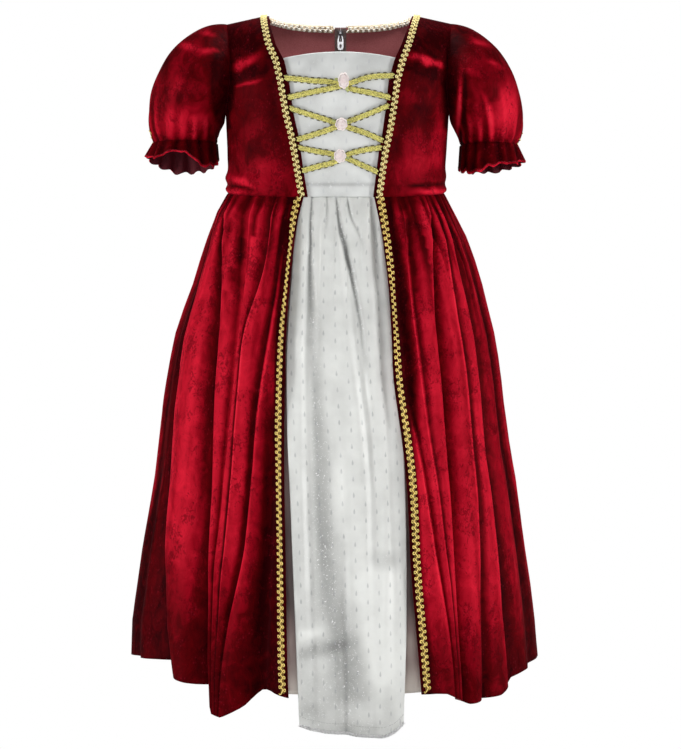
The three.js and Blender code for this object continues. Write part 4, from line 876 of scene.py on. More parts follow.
# %% Gathers and folds of the skirt
GATHER_ENDS = {  # how far down each gather of a panel runs, and how deep it is
    LEFT: [(0.24, 1.5), (0.10, 1.2), (0.30, 1.6), (0.13, 1.3), (0.20, 1.5), (0.11, 1.2), (0.26, 1.6), (0.12, 1.2)],
    RIGHT: [(0.18, 1.4), (0.30, 1.7), (0.11, 1.2), (0.22, 1.5), (0.14, 1.3), (0.28, 1.5), (0.10, 1.2), (0.17, 1.3)],
}


def crests(side, face, height):
    """Each crest of a panel at a height: its angle, the next crest, its drop and where the drop ends."""
    rows = [row for row in FOLDS if row[:2] == (face, side)]
    at = [smooth_read(height, FOLD_LEVELS, row[2]) for row in rows] + [np.full_like(height, 90.0)]
    at = [np.maximum(a, 17.0 + k) for k, a in enumerate(at)]
    return [(at[k], at[k + 1], np.interp(height, FOLD_LEVELS, row[3]),
             at[k] + np.minimum(DROP_SPAN, 0.45 * (at[k + 1] - at[k]))) for k, row in enumerate(rows)]


def fold_depth(side, face, angle, height):
    """Rounded folds that lean outward: a gentle rise from each crease, and a full turn down into the next one."""
    height = height * np.ones_like(angle)
    depth = np.zeros_like(angle)
    edges = crests(side, face, height)
    creases = [bottom for _, _, _, bottom in edges]
    drops = [drop * ease((after - at) / 4) for at, after, drop, _ in edges]
    for k in range(len(edges) + 1):
        first, last = k == 0, k == len(edges)
        end = np.full_like(angle, 90.0) if last else creases[k]
        low = np.maximum(end - 13, 8) if first else creases[k - 1]
        peak = mix(low, end, 0.5 if last else 0.56)
        if not first:
            g = clamp((angle - low) / np.maximum(peak - low, 0.05), 0, 1)
            depth = np.where((angle >= low) & (angle < peak), drops[k - 1] * (1 - np.sin(0.5 * np.pi * g)), depth)
        if not last:
            g = clamp((angle - peak) / np.maximum(end - peak, 0.05), 0, 1)
            depth = np.where((angle >= peak) & (angle < end), drops[k] * (1 - np.sqrt(1 - g * g)), depth)
    for h_face, h_side, angles, depths, width in HOLLOWS:
        if (h_face, h_side) == (face, side):
            off = (angle - smooth_read(height, FOLD_LEVELS, angles)) / width
            depth = depth + np.interp(height, FOLD_LEVELS, depths) * np.exp(-off * off)
    return depth * ease(height / 0.08)


def column_angles(side, face, start, height, count):
    """Angles of a panel's columns: evenly spread, but flowing along its crests and the bottoms beyond them."""
    middle = crests(side, face, np.full_like(height, 0.4))
    here = crests(side, face, height)
    knots = [(0.0, start)]
    last = 0.0
    low = float(np.min(start))
    for k in range(len(here)):
        share = max((float(middle[k][0].flat[0]) - low) / (90 - low), last + 0.035)
        knots += [(share, np.maximum(here[k][0], start + 0.4)), (share + 0.045, np.maximum(here[k][3], start + 0.8))]
        last = share + 0.045
    knots.append((1.0, np.full_like(height, 90.0)))
    shares = [k for k, _ in knots]
    f = np.linspace(0, 1, count)
    i = np.clip(np.searchsorted(shares, f, side="right") - 1, 0, len(knots) - 2)
    low_at = np.concatenate([knots[k][1] for k in i], axis=1)
    high_at = np.concatenate([knots[k + 1][1] for k in i], axis=1)
    part = np.array([(v - shares[k]) / (shares[k + 1] - shares[k]) for v, k in zip(f, i)])[None, :]
    return mix(low_at, high_at, part)


def gathers(side, face, height, share):
    """How far down the gather at each place runs, its depth, and 1 on its ridge or 0 in the pinches between."""
    place = share * 8
    which = clamp(np.floor(place), 0, 7).astype(int)
    table = np.array(GATHER_ENDS[side] if face == FRONT else GATHER_ENDS[-side])
    phase = place - which + 0.12 * noise(place, height * 9, 61 + side + face)
    return table[which, 0], table[which, 1], np.sin(np.pi * clamp(phase, 0, 1)) ** 2


print("gathers listed:", [len(GATHER_ENDS[side]) for side in (LEFT, RIGHT)])

# %% [markdown]
# ### Points and painted light of the skirt
# A panel's points lie on the form of its solid and move in along the folds and gathers. The painted shade is
# deeper where a fold hides the cloth, since soft light alone leaves the troughs too even.


# %% Skirt points and painted light and shade
def skirt_points(side, face, angle, height, share):
    """share runs from 0 at the panel's open or middle edge to 1 at its side seam, for the gathers."""
    p = skirt_hull(side, face, angle, np.maximum(height, -0.01))
    around = side * (angle if face == FRONT else 180 - angle)
    p[..., 2] -= np.interp(around, HEM_DROP["angle"], HEM_DROP["extra"]) * clamp(height, 0, 1) ** 3
    quiet = ease((90 - angle) / 4) if face == FRONT else ease((90 - angle) / 4) * ease(angle / 4)
    depth = fold_depth(side, face, angle, height) * quiet
    ends, deep, pinch = gathers(side, face, height, share)
    strength = (1 - ease(height / ends)) * mix(1.0, 0.75, ease(height / 0.05))
    depth = depth + 1.5 * deep * (1 - pinch) * strength
    fine = 0.5 * (1 - ease(height / 0.16)) * noise(share * 46, height * 16, 67 + side + face)
    soft = (0.9 * noise(share * 9 + height * 2, height * 5.5, 71 + side + 3 * face)
            + 0.45 * noise(share * 21, height * 12 + share * 4, 73 + side + 3 * face)
            + 0.22 * noise(share * 44, height * 26, 79 + side)) * ease(height / 0.1)
    depth = depth - (fine + soft) * quiet
    reach = np.hypot(p[..., 0], p[..., 1])
    p[..., 0] *= 1 - depth / reach
    p[..., 1] *= 1 - depth / reach
    return p


def fold_painted_light(side, face, angle, height, share, beside):
    """Painted light and shade: each fold is dark at its start, bright on its flank and brightest on the thin rim
    where it turns away.
    """
    height = height * np.ones_like(angle)
    shade = np.full(angle.shape, 0.20)
    creases = [bottom for _, _, _, bottom in crests(side, face, height)]
    for k in range(len(creases) + 1):
        first, last = k == 0, k == len(creases)
        end = np.full_like(angle, 90.0) if last else creases[k]
        low = np.maximum(end - 13, 8) if first else creases[k - 1]
        u = (angle - low) / np.maximum(end - low, 0.05)
        tone = mix(0.16 if side == RIGHT else 0.06, 0.56, ease((u - 0.04) / 0.34))
        tone = tone + (0.0 if last else 0.22) * np.exp(-((u - 0.95) / 0.05) ** 2)
        tone = tone - (0.34 if last and side == LEFT else 0.0) * ease(u / 0.6) * ease((height - 0.60) / 0.14)
        shade = np.where((angle >= low) & (angle < end), tone, shade)
    # painted shade in the hollows
    for h_face, h_side, angles, depths, width in HOLLOWS:
        if (h_face, h_side) == (face, side):
            off = (angle - smooth_read(height, FOLD_LEVELS, angles)) / (width * 1.2)
            shade -= 0.62 * clamp(np.interp(height, FOLD_LEVELS, depths) / 6, 0, 1) * np.exp(-off * off)
    streaks = (noise(angle / 3.2, height * 2.4, 151 + side + face) * 0.10
               + noise(angle / 1.4, height * 5, 153 + face) * 0.07)
    # painted shade in the pinches of the gathers near the waist, and painted light on their ridges
    ends, deep, pinch = gathers(side, face, height, share)
    shade -= 0.46 * deep / 1.5 * (1 - pinch) * (1 - ease(height / ends)) - 0.12 * pinch * (1 - ease(height / 0.1))
    # painted shade towards the hem and just under the waist seam, and beside is painted shadow along the braid
    low_end = (0.66, 0.93, 0.28) if side == LEFT else (0.76, 0.99, 0.34)
    fade = mix(1.0, low_end[2], ease((height - low_end[0]) / (low_end[1] - low_end[0])))
    return (shade + streaks - 0.42 * beside) * fade * mix(0.45, 1.0, ease((height - 0.006) / 0.03))


print("levels at which folds are given:", len(FOLD_LEVELS))

# %% [markdown]
# ### The four panels
# The front panels end in the edge that the braid is sewn on, and the back ones meet at the middle. They could be
# sculpted, but columns that are placed by the folds keep the creases with fewer triangles.


# %% Skirt panels, front and back
def skirt_front_columns(side, height, extra_columns=None, cols=138):
    """The open edge, how far it rolls in, and each column's angle and distance from the edge in millimetres."""
    edge = smooth_read(height, EDGE["height"], EDGE[side])
    roll = np.maximum(0, smooth_read(height, EDGE["height"], EDGE["roll"][side]))
    rim = skirt_hull(side, FRONT, edge, height)
    per = np.linalg.norm(skirt_hull(side, FRONT, edge + 1, height) - rim, axis=-1)
    if extra_columns is None:
        start = edge + 11.2 / per
        trim = mix(edge, start, np.linspace(0, 1, 12)[None, :-1])
        angle = np.concatenate([trim, column_angles(side, FRONT, start, height, cols - 11)], axis=1)
    else:
        angle = edge + np.asarray(extra_columns)[None, :] / per
    return edge, per, roll, angle, (angle - edge) * per


def skirt_front_grid(side, height, extra_columns=None, cols=138):
    """Points of a front panel, with its open edge rolled in below the waist."""
    edge, per, roll, angle, from_edge = skirt_front_columns(side, height, extra_columns, cols)
    band = clamp((from_edge - 11.2) / np.maximum(1, (90 - edge) * per - 11.2), 0, 1)
    p = skirt_points(side, FRONT, angle, height, band)
    turned = roll * clamp(1 - from_edge / 15, 0, 1) ** 1.5
    p[..., 1] += turned
    p[..., 0] += side * turned * 0.25
    return p


def skirt_front(side):
    height = np.concatenate([[-0.006, -0.003], np.linspace(0, 1, 184) ** 1.08])[:, None]
    p = skirt_front_grid(side, height)
    tuck = np.array([2.0, 2.0] + [0.0] * 184)[:, None]
    tuck[2] = 0.35
    n = grid_normals(p, p - SKIRT_CORE)
    p = p - n * tuck[..., None]
    n = grid_normals(p, n)
    edge, per, _, angle, from_edge = skirt_front_columns(side, height)
    band = clamp((from_edge - 11.2) / np.maximum(1, (90 - edge) * per - 11.2), 0, 1)
    # beside is painted shadow along the braid at the heights that the window opens, and the cloth under the braid's
    # edge gets painted shade as well
    window = 1 - ease((height - 0.4) / 0.1)
    if side == LEFT:
        window = 1 - ease((height - 0.27) / 0.1) + ease((height - 0.62) / 0.1)
    beside = ease((height - 0.03) / 0.03) * window * (1 - ease((from_edge - 10) / 13))
    shade = fold_painted_light(side, FRONT, angle, height, band, beside) - 0.7 * (1 - ease((from_edge - 9) / 4))
    obj = shell("skirt_front_panel_" + SIDE[side], p, n, SHELL_WALL, velvet, wrong_side, uv=cloth_uv(p), nap_and_painted_light=shade)
    cloth_piece(obj, ["skirt_front_" + SIDE[side]], p, "gathered")


def skirt_back(side):
    height = np.concatenate([[-0.006, -0.003], np.linspace(0, 1, 138) ** 1.08])[:, None]
    angle = column_angles(side, BACK, np.zeros_like(height), height, 120)
    p = skirt_points(side, BACK, angle, height * np.ones_like(angle), angle / 90)
    p[:, 0, 0] = 0
    n = grid_normals(p, p - SKIRT_CORE)
    n[:, 0, 0] = 0
    tuck = np.array([2.0, 2.0] + [0.0] * 138)[:, None]
    tuck[2] = 0.35
    p = p - n * tuck[..., None]
    n = grid_normals(p, n)
    n[:, 0, 0] = 0
    obj = shell("skirt_back_panel_" + SIDE[side], p, n, SHELL_WALL, velvet, wrong_side, uv=cloth_uv(p),
                nap_and_painted_light=fold_painted_light(side, BACK, angle, height, angle / 90, np.zeros_like(angle)))
    cloth_piece(obj, ["skirt_back_" + SIDE[side]], p, "gathered")


for side in (LEFT, RIGHT):
    skirt_front(side)
    skirt_back(side)


# %% [markdown]
# ### Apron and underlay
# The apron is a gathered panel that hangs free in the skirt's opening, with satin behind it. A cloth simulation
# could drape it, but its folds couldn't be placed. Each crease here is a row of a table: where it runs, how deep
# and wide it is, and how much painted shade it gets.

# %% Apron and underlay
def front_panel(x, height, inset):
    p = np.where((x < 0)[..., None], skirt_hull(LEFT, FRONT, skirt_angle_of(LEFT, x, height), height),
                 skirt_hull(RIGHT, FRONT, skirt_angle_of(RIGHT, x, height), height))
    p[..., 1] += inset
    return p


# the last column is painted shade in the crease
APRON_CREASES = [  # drops, places across, depths, half widths, how much darker
    ([189, 224, 265, 330, 390, 450, 560, 640, 705, 745], [-30, -31.5, -32, -29, -27, -24, -17, -6, 4, 10],
     [0.6, 1.6, 2.0, 2.2, 2.4, 2.6, 2.8, 3.0, 3.0, 2.5], [1.3, 2.0, 3.6, 7, 8, 10, 14, 19, 24, 24],
     [0.45, 0.58, 0.42, 0.28, 0.28, 0.28, 0.30, 0.28, 0.24, 0.16]),
    ([189, 196, 224, 266, 318, 349, 385], [-4.5, -3.6, -0.5, 10, 20.5, 24.7, 27], [0.3, 1.6, 3.0, 2.8, 2.0, 1.2, 0.0],
     [1.4, 1.6, 3.0, 3.4, 3.0, 4.0, 5.0], [0.3, 0.5, 0.62, 0.50, 0.36, 0.20, 0.0]),
    ([189, 200, 216, 232], [-14.5, -14, -15, -17], [0.4, 1.4, 0.8, 0.0], [1.2, 1.6, 2.0, 2.0], [0.3, 0.3, 0.15, 0.0]),
    ([189, 197, 212, 232, 250], [7, 8.5, 12.5, 21, 25], [0.4, 1.6, 1.4, 0.8, 0.0], [1.2, 1.5, 1.9, 2.2, 2.2],
     [0.25, 0.32, 0.25, 0.12, 0.0]),
    ([189, 200, 240, 280], [31, 32, 37, 40], [0.3, 1.2, 1.2, 0.0], [1.4, 1.8, 3.0, 3.0], [0.2, 0.25, 0.2, 0.0]),
]
APRON_PATCHES = [  # across, drop, half width, half height, slope, painted highlight or painted shade; it also moves the cloth
    (-2, 488, 8, 38, 0.0, 0.16), (44, 563, 20, 9, 0.1, -0.22), (42, 592, 26, 20, -0.2, 0.18),
    (14, 672, 20, 46, 1.3, -0.30), (-26, 610, 14, 30, 0.0, -0.16), (-22, 657, 27, 8, -0.25, -0.40),
    (-34, 640, 16, 6, -0.2, 0.30), (-32, 724, 14, 12, 0.2, -0.26), (16, 722, 22, 12, 0.0, 0.18),
    (40, 668, 12, 34, 0.0, 0.14), (49, 720, 8, 26, 0.0, -0.16), (-46, 560, 7, 60, 0.0, -0.12),
    (46, 410, 10, 60, 0.0, 0.08),
    (-44, 300, 8, 80, 0.0, 0.10), (30, 470, 14, 40, 0.0, -0.07), (-20, 704, 30, 36, 0.9, -0.22),
    (-20, 530, 18, 90, 0.0, -0.12), (38, 640, 26, 60, 0.3, 0.18), (0, 744, 70, 12, 0.0, -0.18),
]


def apron_folds(p):
    """How deep and how dark the creases and soft patches are at each point."""
    across, drop = p[..., 0], -p[..., 2]
    # shade is painted shade in the creases, and painted highlight or painted shade in the patches
    deep, shade = np.zeros_like(across), np.full(across.shape, 0.84)
    for drops, places, depths, widths, darks in APRON_CREASES:
        half = np.interp(drop, drops, widths)
        off = (across - smooth_read(drop, drops, places) - 0.5 * noise(drop / 14, across * 0, 165)) / half
        slope = np.where(off < 0, 0.55, 1.15)
        inside = (drop > drops[0] - 6) & (drop < drops[-1] + 12)
        deep += inside * np.interp(drop, drops, depths) * np.exp(-off * off)
        shade -= 1.65 * inside * np.interp(drop, drops, darks) * np.exp(-(off / slope) ** 2)
    for at, low, half_width, half_height, slope, amount in APRON_PATCHES:
        u = across - at
        v = drop - low - slope * u + 2.0 * noise(across / 14, drop / 14, 167)
        lump = np.exp(-((u / half_width) ** 2 + (v / half_height) ** 2) ** 1.3)
        shade += amount * lump
        deep -= 6.0 * amount * lump
    return deep, shade + 0.06 * noise(across / 18, drop / 40, 169)


def apron_panel():
    rows, cols = 256, 124
    height = (np.linspace(0, 1, rows))[:, None] * np.ones((1, cols))
    f = np.linspace(0, 1, cols)[None, :] * np.ones((rows, 1))
    left = smooth_read(height, APRON["height"], APRON["left"])
    right = smooth_read(height, APRON["height"], APRON["right"])
    x = mix(left, right, f)
    rim = np.abs(2 * f - 1) ** 2.5
    middle, edge = [smooth_read(height, APRON["height"], APRON[key]) for key in ("middle", "edge")]
    inset = mix(middle, edge, rim)
    place = f * 7
    pinch = np.sin(np.pi * (place - np.floor(place))) ** 2
    lengths = np.array([0.16, 0.26, 0.12, 0.30, 0.20, 0.12, 0.24, 0.24])[clamp(np.floor(place), 0, 7).astype(int)]
    inset = inset + 1.5 * (1 - pinch) * (1 - ease(height / lengths))
    for places, depths in APRON_TROUGHS:
        off = (x - smooth_read(height, LEVELS, places)) / 6.5
        inset = inset + ease(height / 0.08) * np.interp(height, LEVELS, depths) * np.exp(-off * off)
    inset = inset + (0.9 * noise(f * 5, height * 9, 91) + 0.35 * noise(f * 13, height * 22, 92)) * ease(height / 0.1)
    p = front_panel(x, height, inset)
    p[..., 2] -= (smooth_read(x, *APRON_BOTTOM) - HEM) * height**1.5
    deep, shade = apron_folds(p)
    calm = ease(f / 0.03) * ease((1 - f) / 0.03) * ease((height + 0.004) / 0.012)
    p[..., 1] += clamp(deep, -1.8, 3.2) * calm
    n = grid_normals(p, p - SKIRT_CORE)
    obj = shell("apron_panel", p, n, SATIN, brocade, brocade, uv=cloth_uv(p), nap_and_painted_light=shade)
    cloth_piece(obj, ["apron"], p, "gathered")
    return p, n


def underlay_panel():
    rows, cols = 120, 40
    height = np.linspace(0, 1, rows)[:, None] * np.ones((1, cols))
    f = np.linspace(0, 1, cols)[None, :] * np.ones((rows, 1))
    left = skirt_hull(LEFT, FRONT, smooth_read(height, EDGE["height"], EDGE[LEFT]), height)[..., 0] - 5
    right = skirt_hull(RIGHT, FRONT, smooth_read(height, EDGE["height"], EDGE[RIGHT]), height)[..., 0] + 5
    x = mix(left, right, f)
    inset = mix(5.6, 16, ease(height / 0.06)) + 3.5 * ease(height / 0.3) - 4 * height
    inset = inset + 0.8 * noise(f * 6, height * 4, 95) * ease(height / 0.2)
    p = front_panel(x, height, inset)
    n = grid_normals(p, p - SKIRT_CORE)
    shade = (0.30 - 0.16 * ease((height - 0.6) / 0.1) + 0.35 * ease((height - 0.80) / 0.1)
             + 0.32 * ease((height - 0.93) / 0.06))
    shade = shade + 0.08 * noise(x / 6, height * 20, 171)
    obj = shell("underlay_panel", p, n, SATIN, satin, satin, uv=cloth_uv(p), nap_and_painted_light=shade)
    cloth_piece(obj, ["skirt_underlay"], p, "hung")


apron_points, apron_normals = apron_panel()
underlay_panel()

# %% [markdown]
# ## Sleeves
# One closed grid each: the puff, the pinched line of the elastic and the wavy frill below it.


# %% Sleeves
def sleeve_points(side, angle, along):
    p, around, c = sleeve_form(side, angle, along)
    wave = np.cos(np.radians(SLEEVE_GATHERS * angle) + 1.1 * noise(angle / 26, along * 0 + 2, 101 + side))
    near = ease((along - 0.6) / 0.4) ** 1.5
    keep = np.where(c < 0, 0.5, 1.0)
    puff = -1.9 * near * keep * (0.5 - 0.5 * wave) * clamp(2 - along, 0, 1)
    long_folds = -2.0 * ease((along - 0.35) / 0.5) * keep * np.maximum(0, noise(angle / 21, along * 1.2, 103 + side))
    long_folds *= 1 - ease((along - 0.92) / 0.08)
    head = (-1.4 * (1 - ease(along / 0.3)) * ease(along / 0.04) * (0.5 + 0.5 * np.cos(np.radians(22 * angle)))
            * np.maximum(0, c))
    soft = (1.6 * noise(angle / 38, along * 3.2, 105 + side) + 0.6 * noise(angle / 15, along * 7, 107 + side)) * \
        ease(along / 0.15) * (1 - ease((along - 0.85) / 0.15)) * keep
    frill = clamp(along - 1, 0, 1)
    inner = clamp(-c, 0, 1)
    flare = frill * (6 * (1 - 0.85 * inner) + 2.9 * wave * (1 - 0.8 * inner))
    pinch = -1.2 * np.exp(-((along - 1) / 0.035) ** 2)
    out = puff + long_folds + head + soft + flare + pinch
    p = p + around * out[..., None]
    ripple = (1 + 0.05 * np.cos(np.radians(SLEEVE_GATHERS * angle) + 1.3)
              + 0.04 * noise(angle / 9, frill * 0, 109 + side))
    p[..., 2] -= np.interp(angle, FRILL["angle"], FRILL[side]) * frill * ripple
    p[..., 1] -= (7.0 if side == LEFT else 4.0) * np.exp(-((angle - 84) / 28) ** 2) * frill**1.3
    return p


def sleeve_painted_light(side, p, angle, along):
    across, drop = np.abs(p[..., 0]), -p[..., 2]
    wave = np.cos(np.radians(SLEEVE_GATHERS * angle) + 1.1 * noise(angle / 26, along * 0 + 2, 101 + side))
    # painted light and shade: darker towards the armhole, charted patches, painted highlights in uneven streaks on
    # the gathers above the elastic, and the frill in painted shade with a painted highlight along its edge
    body = mix(0.06, 0.24, ease((along - 0.05) / 0.2)) + charted_painted_light("sleeve", side, across, drop)
    reach = 0.60 + 0.16 * noise(angle / 11, along * 0, 149 + side)
    flame = np.maximum(wave, -0.4) * (0.6 + 0.8 * noise(angle / 13, along * 0 + 3, 157 + side))
    body += 0.34 * flame * ease((along - reach) / 0.25) + 0.07 * noise(angle / 16, along * 8, 147 + side)
    edge = ease((along - 1.88) / 0.07)
    frill = mix(0.10 + 0.10 * wave, 0.52 + 0.16 * noise(angle / 7, along * 0, 159), edge)
    return mix(body, frill, ease((along - 0.97) / 0.05))


def sleeve(side):
    cols = 180
    along = np.concatenate([np.linspace(0, 0.85, 46), np.linspace(0.86, 1.12, 28), np.linspace(1.15, 2, 20)])
    along = np.repeat(along[:, None], cols, axis=1)
    angle = np.repeat(np.linspace(0, 360, cols, endpoint=False)[None, :], along.shape[0], axis=0)
    p = sleeve_points(side, angle, along)
    middle = SLEEVE[side][0]
    centre = np.stack([side * mix(118, middle, clamp((-20 - p[..., 2]) / 60, 0, 1)), np.zeros_like(angle),
                       np.minimum(p[..., 2], -62)], axis=-1)
    n = grid_normals(p, p - centre, closed=True)
    # the inside takes the darker copy of the wrong side, as painted shade
    obj = shell("sleeve_puff_" + SIDE[side], p, n, VELVET - 0.3, velvet, dark_side, closed=True, uv=cloth_uv(p),
                nap_and_painted_light=sleeve_painted_light(side, p, angle, along))
    cloth_piece(obj, ["sleeve_" + SIDE[side]], p, "gathered", closed=True)
    return p, n, along, angle


sleeves = {side: sleeve(side) for side in (LEFT, RIGHT)}

# %% [markdown]
# ## Braid
# The scroll braid is one curled cord, instanced along a line in turned pairs, on a thin backing strip.


# %% Scroll unit and instancing
def tube(path, radius, sides):
    """Points and faces of a round cord along a path of points in millimetres."""
    path = np.asarray(path, float)
    t = unit(np.gradient(path, axis=0))
    side = unit(np.cross(t, [0.0, 0.0, 1.0]))
    up = np.cross(side, t)
    turn = np.linspace(0, 2 * np.pi, sides, endpoint=False)
    cos, sin = np.cos(turn)[None, :, None], np.sin(turn)[None, :, None]
    ring = path[:, None] + radius * (cos * side[:, None] + sin * up[:, None])
    n = len(path)
    index = np.arange(n * sides).reshape(n, sides)
    nxt = np.roll(index, -1, axis=1)
    faces = [tuple(q) for q in np.stack([index[:-1], nxt[:-1], nxt[1:], index[1:]], axis=-1).reshape(-1, 4)]
    faces += [tuple(index[0][::-1]), tuple(index[-1])]
    return ring.reshape(-1, 3), faces


def unit_object(name, path, radius, mat, sides):
    points, faces = tube(path, radius, sides)
    return new_mesh(name, points, faces, [mat])


def scroll_path(width, pitch, cord):
    """One full wave of a cord that swings from edge to edge and loops back on itself at each edge."""
    t = np.linspace(0, 2, 34)
    x = (width / 2 - cord) * np.cos(np.pi * t)
    y = pitch * (t - 1) - 0.66 * pitch * np.sin(2 * np.pi * t)
    z = 0.3 * cord + 0.42 * cord * np.sin(np.pi * t) * np.cos(np.pi * t)
    return np.stack([x, y, z], axis=-1)


def carrier(name, places, along, outward):
    """One loose vertex a unit with the turn that lays the unit's Y along the line and its Z outward."""
    mesh = bpy.data.meshes.new(name)
    mesh.from_pydata((np.asarray(places) * MM).tolist(), [], [])
    turns = []
    for a, o in zip(along, outward):
        y = Vector(a).normalized()
        z = Vector(o).normalized()
        x = y.cross(z).normalized()
        z = x.cross(y).normalized()
        turns.append(Matrix((x, y, z)).transposed().to_euler())
    attribute = mesh.attributes.new("turn", "FLOAT_VECTOR", "POINT")
    attribute.data.foreach_set("vector", np.array([tuple(t) for t in turns], float).ravel())
    obj = bpy.data.objects.new(name, mesh)
    bpy.context.scene.collection.objects.link(obj)
    return obj


def instanced(name, places, along, outward, unit_obj, mat):
    """Geometry nodes put a unit at each place, and the result becomes a plain mesh."""
    points = carrier(name, places, along, outward)
    tree = bpy.data.node_groups.new(name + "_nodes", "GeometryNodeTree")
    tree.interface.new_socket("Geometry", in_out="INPUT", socket_type="NodeSocketGeometry")
    tree.interface.new_socket("Geometry", in_out="OUTPUT", socket_type="NodeSocketGeometry")
    start, end = tree.nodes.new("NodeGroupInput"), tree.nodes.new("NodeGroupOutput")
    place = tree.nodes.new("GeometryNodeInstanceOnPoints")
    info = tree.nodes.new("GeometryNodeObjectInfo")
    info.inputs["Object"].default_value = unit_obj
    turn = tree.nodes.new("GeometryNodeInputNamedAttribute")
    turn.data_type = "FLOAT_VECTOR"
    turn.inputs["Name"].default_value = "turn"
    to_turn = tree.nodes.new("FunctionNodeEulerToRotation")
    real = tree.nodes.new("GeometryNodeRealizeInstances")
    paint = tree.nodes.new("GeometryNodeSetMaterial")
    paint.inputs["Material"].default_value = mat
    link = tree.links.new
    link(start.outputs[0], place.inputs["Points"])
    link(info.outputs["Geometry"], place.inputs["Instance"])
    link(turn.outputs[0], to_turn.inputs[0])
    link(to_turn.outputs[0], place.inputs["Rotation"])
    link(place.outputs[0], real.inputs[0])
    link(real.outputs[0], paint.inputs["Geometry"])
    link(paint.outputs[0], end.inputs[0])
    modifier = points.modifiers.new("units", "NODES")
    modifier.node_group = tree
    bpy.context.view_layer.update()
    mesh = bpy.data.meshes.new_from_object(points.evaluated_get(bpy.context.evaluated_depsgraph_get()))
    points.modifiers.clear()
    points.data = mesh
    mesh.polygons.foreach_set("use_smooth", np.ones(len(mesh.polygons), bool))
    return points


def repeated(name, path, radius, mat, places, along, outward, sides=6, finish=None):
    """Lay a short cord at each place, and give them all as one plain mesh."""
    one = unit_object(name + "_unit", path, radius, mat, sides)
    laid = instanced(name, places, along, outward, one, finish or mat)
    bpy.data.objects.remove(one)
    print(name + ":", len(places), "laid")
    return laid


print("a cord of eight sides has", len(tube(scroll_path(9.4, 3.3, 0.95), 0.6, 8)[0]), "points")

# %% [markdown]
# ### Lines of braid
# A line of braid is laid out by its length, so that the scrolls keep their pitch, on a thin backing strip. An array
# along a curve would stretch the last scroll to fit.


# %% Lines of braid
def resample(line, normal, pitch):
    """Evenly spaced places along a line, with its direction and outward side there."""
    steps = np.linalg.norm(np.diff(line, axis=0), axis=1)
    at = np.concatenate([[0], np.cumsum(steps)])
    count = max(2, int(round(at[-1] / pitch)))
    want = (np.arange(count) + 0.5) / count * at[-1]
    place = np.stack([np.interp(want, at, line[:, k]) for k in range(3)], axis=1)
    out = unit(np.stack([np.interp(want, at, normal[:, k]) for k in range(3)], axis=1))
    ahead = np.stack([np.interp(np.minimum(want + 0.5, at[-1]), at, line[:, k]) for k in range(3)], axis=1)
    behind = np.stack([np.interp(np.maximum(want - 0.5, 0), at, line[:, k]) for k in range(3)], axis=1)
    return place, unit(ahead - behind), out


def backing(name, left, right, normal, low, high, mat):
    """A thin strip between two lines of points."""
    p = np.stack([left, 0.5 * (left + right), right], axis=1)
    n = np.repeat(normal[:, None], 3, axis=1)
    return shell(name, p + n * low, n, 0.0001, mat, mat, lift=high - low)


def braid_line(name, node, left, right, normal, mats, width=9.4, cord=0.95, pitch=3.3, low=0.35, back=0.42,
               narrow=None):
    """Backing strip and a chain of looped waves between two edge lines."""
    middle = 0.5 * (left + right)
    strip = backing(name, mix(middle, left, back), mix(middle, right, back), normal, low, low + 0.4, mats[1])
    place, along, out = resample(middle, normal, 2 * pitch)
    scrolls = repeated(name + "_scrolls", scroll_path(width, pitch, cord), cord * 0.62, mats[0],
                       place + out * (low + 0.75), along, out)
    if narrow is not None:
        # where the cloth's edge rolls in, the braid is seen and lies narrower
        for o in (strip, scrolls):
            v = np.empty(len(o.data.vertices) * 3)
            o.data.vertices.foreach_get("co", v)
            v = v.reshape(-1, 3) / MM
            near = np.concatenate([np.argmin(np.linalg.norm(part[:, None] - middle[None], axis=-1), axis=1)
                                   for part in np.array_split(v, 40)])
            sideways = unit(right - left)[near]
            off = np.sum((v - middle[near]) * sideways, axis=1)
            v = v + sideways * (off * (narrow[near] - 1))[:, None]
            o.data.vertices.foreach_set("co", (v * MM).ravel())
            o.data.update()
    for o in (strip, scrolls):
        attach(o, BODY)
        if node:
            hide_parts(node)


print("points in one scroll:", len(scroll_path(9.4, 3.3, 0.95)))

# %% [markdown]
# ### Edge braid
# Braid is sewn along the open edges of the bodice and the skirt. It could be an array along a curve. Here its lines
# come from the same surfaces as the velvet, so that it follows them, and a table narrows it where an edge rolls in.

# %% Braid along the neck and skirt edges
BRAID_WIDTHS = {LEFT: ([0, 0.05, 0.09, 0.20, 0.28, 0.40, 0.46], [0.9, 0.8, 0.45, 0.45, 0.66, 0.82, 1.0]),
                RIGHT: ([0, 0.14, 0.19, 0.26, 0.31], [1.0, 1.0, 0.6, 0.62, 1.0])}
for side in (LEFT, RIGHT):
    drop = WAIST * (np.linspace(0, 1, 130) ** 1.1)
    edges = [torso(side, FRONT, drop, braid_middle(side, drop) + k * BRAID / 2) for k in (-1, 1)]
    wide = torso(side, FRONT, drop[:, None], (braid_middle(side, drop)[:, None] + np.array([-4, 0, 4])[None, :]))
    normal = grid_normals(wide, wide - TORSO_CORE)[:, 1]
    braid_line("neck_braid_" + SIDE[side], "braid_neck_" + SIDE[side], edges[0], edges[1], normal,
               (pale_gold, gold_back), 7.8, 0.85, 2.9)
    height = 0.993 * (np.linspace(0, 1, 260) ** 1.05)[:, None]
    wide = skirt_front_grid(side, height, extra_columns=[1.2, 6.2, 11.2])
    normal = grid_normals(wide, wide - SKIRT_CORE)[:, 1]
    share = np.interp(height[:, 0], *BRAID_WIDTHS[side])
    braid_line("skirt_braid_" + SIDE[side], "braid_skirt_" + SIDE[side], wide[:, 0], wide[:, 2], normal,
               (gold, gold_back), 8.8, narrow=share)


